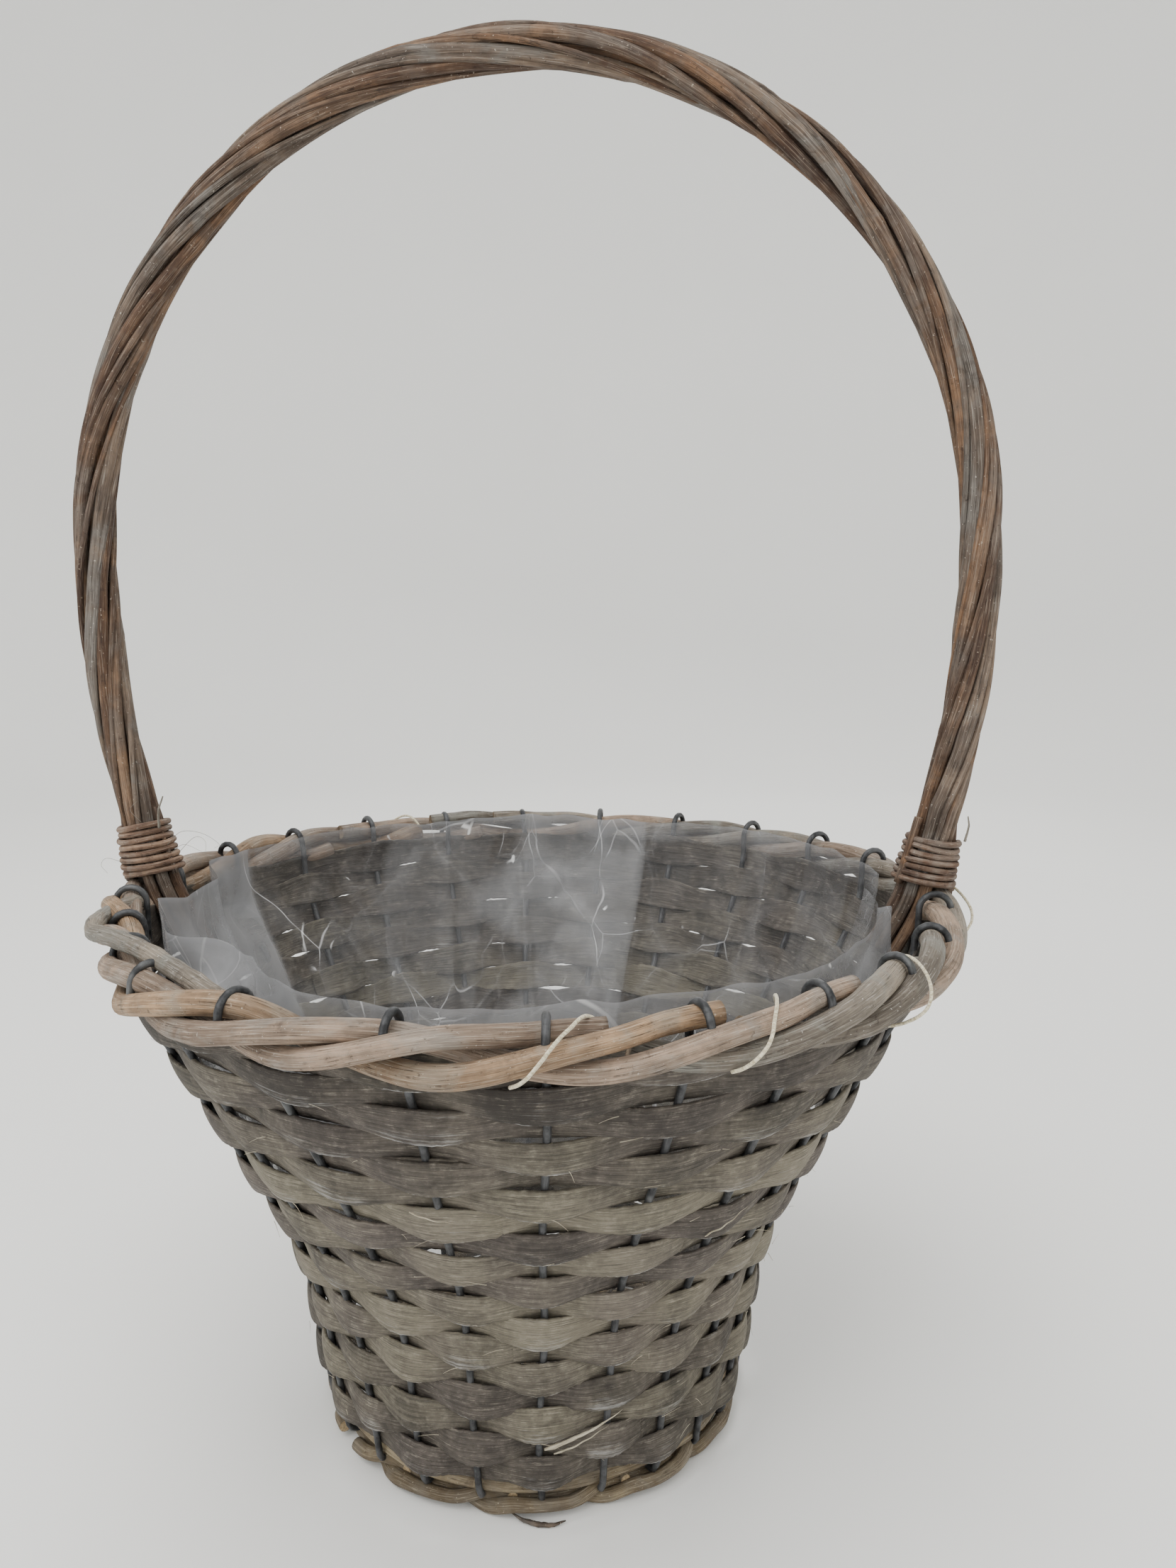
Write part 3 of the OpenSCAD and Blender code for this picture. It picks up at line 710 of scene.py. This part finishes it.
def bindingPath(side, turns, seed):
    b = binding
    turned = np.linspace(0, 360 * turns, turns * b["stepsPerTurn"])
    t, a = turned / turned[-1], np.radians(turned)
    z = b["bottom"] + b["pitch"] * turned / 360
    wide = spread(z, b["spread"]) / 2
    reach = b["reach"] - b["tighter"] * t + b["uneven"] * wander(seed, t, 3, 12)
    x = legX(z) + wide + (reach + wide) * np.cos(a)
    y = reach * np.sin(a)
    z = z - b["tilt"] * np.cos(a) + b["uneven"] * wander(seed + 1, t, 6, 20)
    return np.stack([side * x, y, z], axis=-1)


for name, side, turns, seed in binding["wound"]:
    bm = bmesh.new()
    addRod(bm, bindingPath(side, turns, seed), binding["radius"], binding["sides"], 1600 + seed, lump=0.03)
    makePiece("bindingCane_" + name, bm, [caneFinish, greyCut], ["handle_binding_" + name])

# cut ends of packing rods above the bindings
stubs = dict(low=0.214, groove=205, steps=12, sides=8,
             left=dict(side=-1, high=0.2405, reach=0.0090, radius=np.linspace(0.0013, 0.0004, 12), kind="brown", seed=1650),
             right=dict(side=1, high=0.2395, reach=0.0092, radius=0.0017, kind="rust", seed=1660))
for name in ("left", "right"):
    stub = stubs[name]
    z = np.linspace(stubs["low"], stub["high"], stubs["steps"])
    a = math.radians(stubs["groove"])
    x, y = legX(z) + stub["reach"] * math.cos(a), 0 * z + stub["reach"] * math.sin(a)
    path = np.stack([stub["side"] * x, y, z], axis=-1)
    bm = bmesh.new()
    addRod(bm, path, stub["radius"], stubs["sides"], stub["seed"], lump=0.05)
    makePiece("stub" + name.title(), bm, [handleFinish[stub["kind"]], greyCut], ["handle_stub_" + name])
print("bindings wound")

# foot: two rods twisted round each other under the wall, and the hoop that holds the stakes

foot = dict(radius=0.0795, height=0.0050, rodRadius=0.0025, twistOut=0.00265, twistUp=0.0023, corner=0.0007,
            ends=(-156, -139), endGap=8, steps=300, sides=12)
hoop = dict(radius=0.0795, height=0.0114, rodRadius=0.0024, end=40, endGap=4, steps=240, sides=12)


def footPath(which, seed):
    t = np.linspace(0, 1, foot["steps"])
    az = t * (360 - foot["endGap"]) + foot["ends"][which]
    spot = (az - basket["firstStake"]) / 30
    half = np.pi * (np.floor(spot) + smoothStep(0.2, 0.8, spot - np.floor(spot))) + which * np.pi
    corner = foot["corner"] * np.cos(2 * np.pi * 12 * (az - basket["firstStake"]) / 360)
    r = foot["radius"] + foot["twistOut"] * np.cos(half) + corner + 0.0006 * wander(seed, t, 3, 9)
    z = foot["height"] + foot["twistUp"] * np.sin(half) + 0.0002 * wander(seed + 1, t, 5, 15)
    return polar(r, az, z)


for which, node in ((0, "foot_rod_outer"), (1, "foot_rod_inner")):
    t = np.linspace(0, 1, foot["steps"])
    radius = foot["rodRadius"] * (1.0 + 0.06 * wander(750 + which, t, 2, 9))
    bm = bmesh.new()
    addRod(bm, footPath(which, 740 + which), radius, foot["sides"], 1700 + which * 20, lump=0.05, knots=10, knotSize=0.2)
    makePiece("footRod_%d" % (which + 1), bm, [floorFinish, paleCut], [node])
t = np.linspace(0, 1, hoop["steps"])
hoopLine = polar(hoop["radius"] + 0.0005 * wander(760, t, 3, 9), (360 - hoop["endGap"]) * t + hoop["end"],
                 hoop["height"] + 0.0003 * wander(761, t, 3, 9))
bm = bmesh.new()
addRod(bm, hoopLine, hoop["rodRadius"], hoop["sides"], 1740, lump=0.04, knots=6)
makePiece("floorHoop", bm, [floorFinish, paleCut], ["floor_hoop"])

# floor: six spokes, three over three, and rings of thin rods woven round them
floorSet = dict(height=0.00695, reach=0.0800, spokeRadius=0.0018, spokeSteps=90, spokeSides=10, over=0.0019,
                nearCross=0.0066, lane=0.00375, fan=30, weaverRadius=0.0014, firstWeaver=0.024, pitch=0.007,
                pairGap=0.0030, wave=0.0024, rounds=7, weaverSides=7)
for i in range(6):
    m = floorSet
    a = math.radians(0 if i < 3 else 90)
    lift = m["over"] if i < 3 else -m["over"]
    lane = i % 3 - 1
    fan = math.radians(m["fan"] * lane)
    half = [(m["nearCross"], m["lane"] * lane, lift), (0.019, 0.019 * math.sin(fan), 0),
            (0.045, 0.045 * math.tan(fan) * 0.98, 0), (m["reach"] * math.cos(fan), m["reach"] * math.sin(fan), 0)]
    line = [(-x, y, z) for x, y, z in half[::-1]] + half
    line = [(x * math.cos(a) - y * math.sin(a), x * math.sin(a) + y * math.cos(a), z + m["height"]) for x, y, z in line]
    bm = bmesh.new()
    addRod(bm, resample(line, m["spokeSteps"]), m["spokeRadius"], m["spokeSides"], 1760 + 20 * i, lump=0.05, knots=2)
    makePiece("floorSpoke_%d" % (i + 1), bm, [floorFinish, paleCut], ["floor_spoke_%d" % (i + 1)])

bm = bmesh.new()
for ring in range(floorSet["rounds"]):
    for side in (0, 1):
        t = np.linspace(0, 1, 150 + 12 * ring)
        az = 359.0 * t
        r = floorSet["firstWeaver"] + floorSet["pitch"] * ring + floorSet["pairGap"] * side
        r = r + 0.0002 * wander(780 + ring, t, 4, 12)
        # over and under the spokes in turn
        z = floorSet["height"] + floorSet["wave"] * np.cos(np.radians(6 * az) + math.pi * side + math.pi * ring)
        path = polar(r, az + 37 * ring + 90 * side, z)
        addRod(bm, path, floorSet["weaverRadius"], floorSet["weaverSides"], 1900 + 4 * ring + side, lump=0.04)
makePiece("floorWeavers", bm, [floorFinish, paleCut], ["floor_weavers"])
print("floor woven")

# liner: clear crinkled film, lying against the weave and over its floor

film = dict(around=480, up=100, gap=0.0054, floorHeight=0.0149, floorRadius=0.0745, floorPart=0.22,
            top=0.2112, topRadius=0.1492, footTop=0.2072, footGap=0.0128, crumple=0.006, floorCrumple=0.0035)
# long folds: azimuth, depth, lean and width in degrees
pleats = ((52, 0.005, 10, 2.4), (72, 0.006, -4, 1.2), (96, 0.005, 6, 2.5), (118, 0.005, -12, 2.4),
          (138, 0.006, 16, 2.8), (212, 0.004, 14, 3.0), (300, 0.004, 10, 2.5), (322, 0.004, -12, 2.6),
          (342, 0.004, -6, 2.4), (24, 0.005, 10, 2.6))
# doubled, milky places: strength, azimuths where it starts and ends, their lean, where it starts going up
milkyZones = ((0.75, (214, 217), (254, 250), 0, (0.84, 0.86)), (0.22, (112, 113), (135, 134), 20, (0.2, 0.3)),
              (0.20, (17, 18), (31, 30), -12, (0.2, 0.3)), (0.75, (306, 312), (357, 352), 0, (0.80, 0.83)),
              (0.55, (250, 256), (312, 306), 0, (0.90, 0.92)))
# the same with a wavering far edge: its seed and sway in degrees
wavyZones = ((0.95, (156.5, 157.3), (236, 231), (0.10, 0.30), 810, 6, 3),
             (0.60, (72.4, 72.9), (106, 98), (0.1, 0.3), 811, 4, 4))


def filmFinish():
    # clear polythene: facets between creases, each a little more or less grey as painted reflection, painted white
    # highlights along the creases, small painted glints, milky where it is doubled
    f = Finish("linerFilm")
    place = f.place()
    milk, hem = f.attribute("milk"), f.attribute("hem")
    facing = f.node("ShaderNodeLayerWeight", None, {"Blend": 0.3}, output="Facing")
    drift = f.node("ShaderNodeTexNoise", None, {"Vector": place, "Scale": 16.0, "Detail": 2.0}, output="Color")
    sway = (0.034, 0.034, 0.034)
    bent = f.node("ShaderNodeVectorMath", {"operation": "MULTIPLY_ADD"}, {0: drift, 1: sway, 2: place})
    flatter = f.stretched(bent, (1, 1, 0.62))
    patch = f.noise(place, 13, 2, 0.5)
    haze = f.noise(place, 45, 5, 0.6, 0.6)
    scuff = f.noise(place, 420, 3, 0.65)

    def edges(scale):
        return f.node("ShaderNodeTexVoronoi", {"feature": "DISTANCE_TO_EDGE"}, {"Vector": flatter, "Scale": scale})

    def facets(scale):
        return f.node("ShaderNodeTexVoronoi", None, {"Vector": flatter, "Scale": scale}, output="Color") + 0.0

    big, mid, small = edges(14), edges(22), edges(36)
    along = f.noise(place, 30, 2, 0.5)
    # painted highlights: white lines along the creases, brighter in some stretches, standing in for reflections of the
    # lamps
    bright = 0.18 + 0.82 * along.between(0.50, 0.62)
    creaseHighlight = (1 - big.between(0.001, 0.007)) * along.between(0.36, 0.50) * bright
    creaseHighlight = creaseHighlight + (1 - mid.between(0.001, 0.010)) * patch.between(0.40, 0.54) * bright * 0.8
    creaseHighlight = creaseHighlight + (1 - small.between(0.002, 0.013)) * patch.between(0.48, 0.58) * bright * 0.7
    creaseHighlight = creaseHighlight * (1 - 0.55 * milk)
    fade = (1 - big.between(0.0, 0.12)) * 0.07 + (1 - mid.between(0.0, 0.10)) * 0.05
    # painted reflection: each facet a little more or less grey, as if it caught the light at its own angle
    tint = (facets(14) - 0.5) * 0.10 + (facets(36) - 0.5) * 0.08
    # painted glints: small white spots near the fine crease lines
    glint = (1 - edges(64).between(0.01, 0.06)) * f.noise(place, 95, 0, 0.4).between(0.75, 0.78)
    glint = glint * (1 - edges(33).between(0.03, 0.12))
    share = 0.065 + 0.10 * facing + tint + fade + creaseHighlight * 0.40 + milk * (0.36 + 0.20 * haze) + hem * 0.22
    share = share + (haze - 0.5) * 0.14 + (scuff - 0.5) * 0.04 + glint * 0.36
    share = share.low(0.96).high(0.05)
    # the painted crease highlights and glints turn the film white
    colour = f.mix((creaseHighlight * 0.6 + glint).low(1.0), paint(158, 159, 162), paint(250, 250, 250))
    height = big.low(0.25) * 2.4 + small.low(0.2) * 0.9 + haze * 0.5
    sockets = {"Base Color": colour, "Roughness": 0.16 + 0.12 * haze, "Specular IOR Level": 0.6, "IOR": 1.5}
    gloss = f.shine(sockets, height, 0.5, 0.0018)
    clear = f.node("ShaderNodeBsdfTransparent", None, {"Color": (1, 1, 1, 1)})
    return f.done(f.node("ShaderNodeMixShader", None, {0: share, 1: clear, 2: gloss}))


filmClear = filmFinish()


def crumpled(point):
    # the facets between creases, about 0 to 0.5
    p = Vector(point)
    bend = Vector([noise.noise(p * 14 + Vector(shift)) for shift in ((0, 0, 0), (7, 1, 3), (2, 8, 5))]) * 0.35
    large = noise.voronoi(Vector((p.x * 17, p.y * 17, p.z * 11)) + bend)[0]
    small = noise.voronoi(Vector((p.x * 44, p.y * 44, p.z * 30)) + bend * 2 + Vector((9, 4, 2)))[0]
    return 0.55 * min(large[1] - large[0], 0.6) + 0.30 * min(small[1] - small[0], 0.5)


def milkiness(az, up):
    milk = 0.35 * smoothStep(0.955, 0.965, up) * (az < 156)
    for most, rise, fall, lean, start in milkyZones:
        at = az + lean * (up - 0.5)
        milk = milk + most * smoothStep(*rise, at) * smoothStep(*fall, at) * smoothStep(*start, up)
    for most, rise, fall, start, seed, sway, fastest in wavyZones:
        wavering = az + sway * wander(seed, up, 1, fastest)
        milk = milk + most * smoothStep(*rise, az) * smoothStep(*fall, wavering) * smoothStep(*start, up)
    return np.clip(milk, 0, 1)


def linerFilm():
    m = film
    bm = newGrid(m["around"], m["up"], ("milk", "hem"))

    def shape(t, s):
        az = 360 * t
        onFloor = s < m["floorPart"]
        besideFoot = np.minimum(np.abs(apart(az, 0)), np.abs(apart(az, 180)))
        atFoot = 1 - smoothStep(6.5, 12.5, besideFoot)
        edge = m["top"] + 0.0009 * wander(800, t, 3, 11, closed=True) + 0.0005 * wander(801, t, 20, 60, closed=True)
        edge = edge - (edge - m["footTop"]) * atFoot
        up = np.clip((s - m["floorPart"]) / (1 - m["floorPart"]), 0, 1)
        z = np.where(onFloor, m["floorHeight"], m["floorHeight"] + (edge - m["floorHeight"]) * up)
        radius = np.minimum(wallRadius(z) - m["gap"], m["topRadius"])
        onWall = m["floorRadius"] + (radius - m["floorRadius"]) * smoothStep(0.0, 0.10, up)
        radius = np.where(onFloor, m["floorRadius"] * np.maximum(s / m["floorPart"], 0.02), onWall)
        radius = radius - m["footGap"] * atFoot * smoothStep(0.142, 0.168, z)
        radius = radius - tuck(az) * smoothStep(0.180, 0.200, z) * (1 - atFoot)
        lift = np.array([crumpled(point) for point in polar(radius, az, z)])
        pleat = np.zeros(len(t))
        for at, deep, leaning, wide in pleats:
            away = apart(az, at + leaning * (up - 0.5))
            pleat += deep * np.exp(-np.abs(away) / wide) * smoothStep(0.05, 0.5, up) * smoothStep(1.0, 0.85, up)
        inward = m["crumple"] * lift * smoothStep(0.02, 0.25, up) * (1 - 0.8 * smoothStep(0.93, 1.0, up)) + pleat
        inward = np.where(onFloor, 0, inward)
        # the top edge flops inwards on the left of the front, and stands off a little on the right
        flop = 0.020 * smoothStep(214, 224, az) * smoothStep(252, 228, az)
        flop = flop + 0.007 * smoothStep(308, 326, az) * smoothStep(356, 342, az)
        standOff = 0.0022 * smoothStep(250, 262, az) * smoothStep(312, 300, az)
        flop = flop * smoothStep(0.86, 1.0, up) + standOff * smoothStep(0.93, 1.0, up)
        z = z + np.where(onFloor, m["floorCrumple"] * lift, 0) - 0.12 * flop
        r = radius - inward - flop
        return polar(r, az, z), {"milk": milkiness(az, up), "hem": smoothStep(0.985, 0.998, up)}

    shapeGrid(bm, shape, 1.0, 0.3)
    bmesh.ops.remove_doubles(bm, verts=bm.verts[:], dist=1e-7)
    inner = [e for e in bm.edges if e.is_boundary and e.verts[0].co.z < 0.05]
    bmesh.ops.holes_fill(bm, edges=inner, sides=0)
    bmesh.ops.recalc_face_normals(bm, faces=bm.faces[:])
    return makePiece("linerFilm", bm, [filmClear], ["liner"])


liner = linerFilm()
filmArea = sum(p.area for p in liner.data.polygons)
print("film area", round(filmArea, 4))
flatSide = round(math.sqrt(filmArea / 0.785), 2)  # a round sheet cut from a square one

# stitches: thread laid over the border, with its ends inside

thread = dict(radius=0.00055, reach=0.00915, inside=150, steps=40, sides=7,  # stitches: azimuth, slant and turn
              stitches=((-77, -9, 200), (-57, -8, 215), (-36, -6, 250), (8, -14, 230), (118, 6, 200)))


def threadFinish():
    f = Finish("cottonThread")
    uv = f.uv()
    twist = f.noise(f.stretched(uv, (1600, 900, 1)), 1, 2, 0.5)
    soil = f.noise(f.place(), 90, 3, 0.6)
    base = f.mix(twist.between(0.3, 0.7), paint(170, 158, 128), paint(222, 214, 190))
    base = f.mix(soil.between(0.55, 0.75) * 0.4, base, paint(150, 138, 112))
    return f.done(f.shine({"Base Color": base, "Roughness": 0.9, "Sheen Weight": 0.3}, twist, 0.5, 0.0002))


threadCotton = threadFinish()
bm = bmesh.new()
for n, (at, slant, around) in enumerate(thread["stitches"]):
    t = np.linspace(0, 1, thread["steps"])
    turn = np.radians(thread["inside"] - around * t)
    reach = thread["reach"] + 0.0005 * np.cos(3 * turn) + 0.0002 * wander(820 + n, t, 1, 4)
    r, z = basket["borderRadius"] + reach * np.cos(turn), basket["borderHeight"] + reach * np.sin(turn)
    path = polar(r, at + slant * t, z)
    addRod(bm, path, thread["radius"], thread["sides"], 2000 + n, lump=0.05, capMaterial=0)
makePiece("linerStitches", bm, [threadCotton], ["liner_stitches"])
print("liner stitched in")

# splinters lifting off the strips, a sliver under the foot, frayed fibres, and loose hairs by the bindings
# each splinter has the azimuths and the heights of its ends, and a size

splinters = dict(radius=0.00055, proud=0.0040, lift=0.0011, steps=26, sides=6,
                 ends=((-82, -65, 0.0338, 0.0455, 1.25), (-80, -68, 0.0315, 0.0405, 0.6), (-56, -49, 0.118, 0.126, 0.5),
                       (-101, -95, 0.139, 0.136, 0.5), (60, 74, 0.092, 0.088, 0.7), (168, 178, 0.050, 0.057, 0.8)))
sliver = dict(radius=0.0009, steps=24, sides=8,  # points are radius, azimuth and height
              points=((0.0815, -90, 0.0018), (0.0842, -87, 0.0014), (0.0861, -83, 0.0011),
                      (0.0866, -80, 0.0011), (0.0856, -77, 0.0013)))
fray = dict(count=150, radius=0.00010, below=0.0062, proud=0.0041, spread=8, steps=6, sides=4)
hairs = dict(radius=0.00010, steps=30, sides=5,
             paths=(((-0.1440, -0.006, 0.226), (-0.1365, -0.010, 0.2320), (-0.1290, -0.008, 0.2310),
                     (-0.1240, -0.004, 0.2260), (-0.1275, 0.000, 0.2235)),
                    ((-0.1445, 0.004, 0.2200), (-0.1380, 0.006, 0.2265), (-0.1320, 0.002, 0.2260),
                     (-0.1300, -0.003, 0.2215)),
                    ((-0.1420, -0.007, 0.2230), (-0.1345, -0.013, 0.2275), (-0.1270, -0.014, 0.2250)),
                    ((-0.1600, -0.007, 0.2180), (-0.1668, -0.010, 0.2210), (-0.1700, -0.009, 0.2180),
                     (-0.1690, -0.006, 0.2140)),
                    ((-0.1530, -0.008, 0.2350), (-0.1560, -0.011, 0.2405), (-0.1535, -0.010, 0.2440))))
canePeel = dict(radius=0.00055, steps=16, sides=7,
                paths=(((-0.1462, -0.0078, 0.2330), (-0.1452, -0.0100, 0.2400), (-0.1425, -0.0115, 0.2462)),
                       ((0.1660, -0.0070, 0.2310), (0.1668, -0.0085, 0.2370), (0.1662, -0.0092, 0.2410))))


def fibreFinish(name, pale, dark):
    f = Finish(name)
    grain = f.noise(f.stretched(f.uv(), (200, 2400, 1)), 1, 3, 0.6)
    stain = f.noise(f.place(), 120, 3, 0.6)
    base = f.mix((grain * 0.7 + stain * 0.4).between(0.35, 0.75), dark, pale)
    return f.done(f.shine({"Base Color": base, "Roughness": 0.8}, grain, 0.4, 0.0002))


fibrePale = fibreFinish("paleFibre", paint(196, 188, 168), paint(138, 128, 108))
fibreGrey = fibreFinish("greyFibre", paint(150, 144, 132), paint(96, 90, 82))
bm = bmesh.new()
for n, (first, last, low, high, size) in enumerate(splinters["ends"]):
    t = np.linspace(0, 1, splinters["steps"])
    z = low + (high - low) * t
    r = wallRadius(z) + splinters["proud"] + splinters["lift"] * np.sin(np.pi * t) + 0.0002 * wander(2200 + n, t, 1, 4)
    slim = np.minimum(1, 0.55 + 6 * t) * (1.05 - t ** 1.6)  # blunt at one end, a point at the other
    radius = splinters["radius"] * size * slim
    addRod(bm, polar(r, first + (last - first) * t, z), radius, splinters["sides"], 2210 + n, lump=0.12, capMaterial=0)
makePiece("splinters", bm, [fibrePale])
bm = bmesh.new()
path = resample([polar(*point) for point in sliver["points"]], sliver["steps"])
radius = sliver["radius"] * (0.25 + 0.75 * np.sin(np.pi * np.linspace(0, 1, sliver["steps"])))
addRod(bm, path, radius, sliver["sides"], 2290, lump=0.1, capMaterial=0)
makePiece("footSliver", bm, [handleFinish["ash"]])
bm = bmesh.new()
rng = np.random.default_rng(2300)
for n in range(fray["count"]):
    # each hangs from the lower edge of a bow
    i = int(rng.integers(1, chip["count"]))
    k = 2 * int(rng.integers(0, 12)) + i % 2
    az = basket["firstStake"] + 15 * k + rng.uniform(-fray["spread"], fray["spread"])
    z = chip["firstHeight"] + chip["pitch"] * i - fray["below"]
    t = np.linspace(0, 1, fray["steps"])
    drop, run, off = rng.uniform(-0.0020, 0.0035), rng.uniform(-0.008, 0.008), rng.uniform(0.0004, 0.0022)
    r = float(wallRadius(z)) + fray["proud"] + off * t ** 1.5
    path = polar(r, az + np.degrees(run / r) * t, z - drop * t ** 1.4 + 0.0004)
    radius = fray["radius"] * rng.uniform(0.8, 1.6) * (1 - 0.7 * t)
    addRod(bm, path, radius, fray["sides"], 2400 + n, lump=0.0, capMaterial=0)
makePiece("frayedFibres", bm, [fibrePale])
bm = bmesh.new()
for n, points in enumerate(hairs["paths"]):
    radius = hairs["radius"] * (1.1 - 0.6 * np.linspace(0, 1, hairs["steps"]))
    addRod(bm, resample(points, hairs["steps"]), radius, hairs["sides"], 2600 + n, lump=0.0, capMaterial=0)
for n, points in enumerate(canePeel["paths"]):
    radius = canePeel["radius"] * (1 - 0.5 * np.linspace(0, 1, canePeel["steps"]))
    addRod(bm, resample(points, canePeel["steps"]), radius, canePeel["sides"], 2620 + n, lump=0.1, capMaterial=0)
makePiece("bindingFibres", bm, [fibreGrey])
print("fibres frayed")

# floor to stand on, light and camera

studio = dict(flat=1.7, bend=0.9, bendSteps=13, wall=4.5, around=96, world=(1.0, 1.0, 0.995, 1.0), worldStrength=0.92)
bm = bmesh.new()
turnBy = np.linspace(0, math.pi / 2, studio["bendSteps"])
profile = [(0.02, 0)] + [(x, 0) for x in np.linspace(0.4, studio["flat"], 4)]
profile += [(studio["flat"] + studio["bend"] * math.sin(a), studio["bend"] * (1 - math.cos(a))) for a in turnBy[1:]]
profile += [(studio["flat"] + studio["bend"], z) for z in np.linspace(studio["bend"], studio["wall"], 4)[1:]]
line = [bm.verts.new((x, 0, z)) for x, z in profile]
for first, second in zip(line[:-1], line[1:]):
    bm.edges.new((first, second))
bmesh.ops.spin(bm, geom=bm.verts[:] + bm.edges[:], axis=(0, 0, 1), cent=(0, 0, 0), dvec=(0, 0, 0),
               angle=2 * math.pi, steps=studio["around"], use_merge=True, use_duplicate=False)
bmesh.ops.remove_doubles(bm, verts=bm.verts[:], dist=1e-5)
bmesh.ops.holes_fill(bm, edges=[e for e in bm.edges if e.is_boundary and e.verts[0].co.z < 0.01], sides=0)
bmesh.ops.recalc_face_normals(bm, faces=bm.faces[:])
bm.faces.ensure_lookup_table()
if min(bm.faces, key=lambda g: g.calc_center_median().length).normal.z < 0:
    bmesh.ops.reverse_faces(bm, faces=bm.faces[:])
for face in bm.faces:
    face.smooth = True
mesh = bpy.data.meshes.new("paleFloor")
bm.to_mesh(mesh)
bm.free()
paleFloor = bpy.data.objects.new("paleFloor", mesh)
bpy.context.scene.collection.objects.link(paleFloor)
f = Finish("palePaint")
paleTone = f.mix(f.noise(f.place(), 3.0, 2, 0.5), paint(243, 243, 241), paint(248, 248, 246))
mesh.materials.append(f.done(f.shine({"Base Color": paleTone, "Roughness": 0.9})))

world = bpy.data.worlds.new("studio")
bpy.context.scene.world = world
world.use_nodes = True
glow = world.node_tree.nodes["Background"].inputs
glow["Color"].default_value, glow["Strength"].default_value = studio["world"], studio["worldStrength"]

aim = (0, 0, 0.2)  # where the lamps point
softLights = {
    "overhead": dict(spot=(-0.35, -0.55, 1.7), size=1.5, power=26, colour=(1.0, 0.985, 0.96)),
    "frontLeft": dict(spot=(-1.3, -1.5, 0.9), size=1.1, power=12, colour=(0.97, 0.985, 1.0)),
    "right": dict(spot=(1.4, -0.8, 0.8), size=0.9, power=6, colour=(1.0, 0.99, 0.97)),
    "behind": dict(spot=(0.3, 1.5, 1.3), size=1.0, power=9, colour=(1.0, 1.0, 1.0)),
}
for name, l in softLights.items():
    lamp = bpy.data.lights.new(name, "AREA")
    lamp.shape, lamp.size, lamp.energy, lamp.color = "SQUARE", l["size"], l["power"], l["colour"]
    spot = bpy.data.objects.new(name, lamp)
    spot.location = l["spot"]
    spot.rotation_euler = (Vector(aim) - Vector(l["spot"])).to_track_quat("-Z", "Y").to_euler()
    bpy.context.scene.collection.objects.link(spot)

view = dict(spot=(0.0482, -0.4530, 0.3193), turn=math.degrees(0.057), down=math.degrees(0.150), lens=27.03)
eye = bpy.data.cameras.new("eye")
eye.lens, eye.sensor_width, eye.clip_start, eye.clip_end = view["lens"], 36.0, 0.01, 60.0
camera = bpy.data.objects.new("eye", eye)
camera.location = view["spot"]
camera.rotation_euler = (math.radians(90 - view["down"]), 0, math.radians(view["turn"]))
bpy.context.scene.collection.objects.link(camera)
bpy.context.scene.camera = camera
print("studio set")
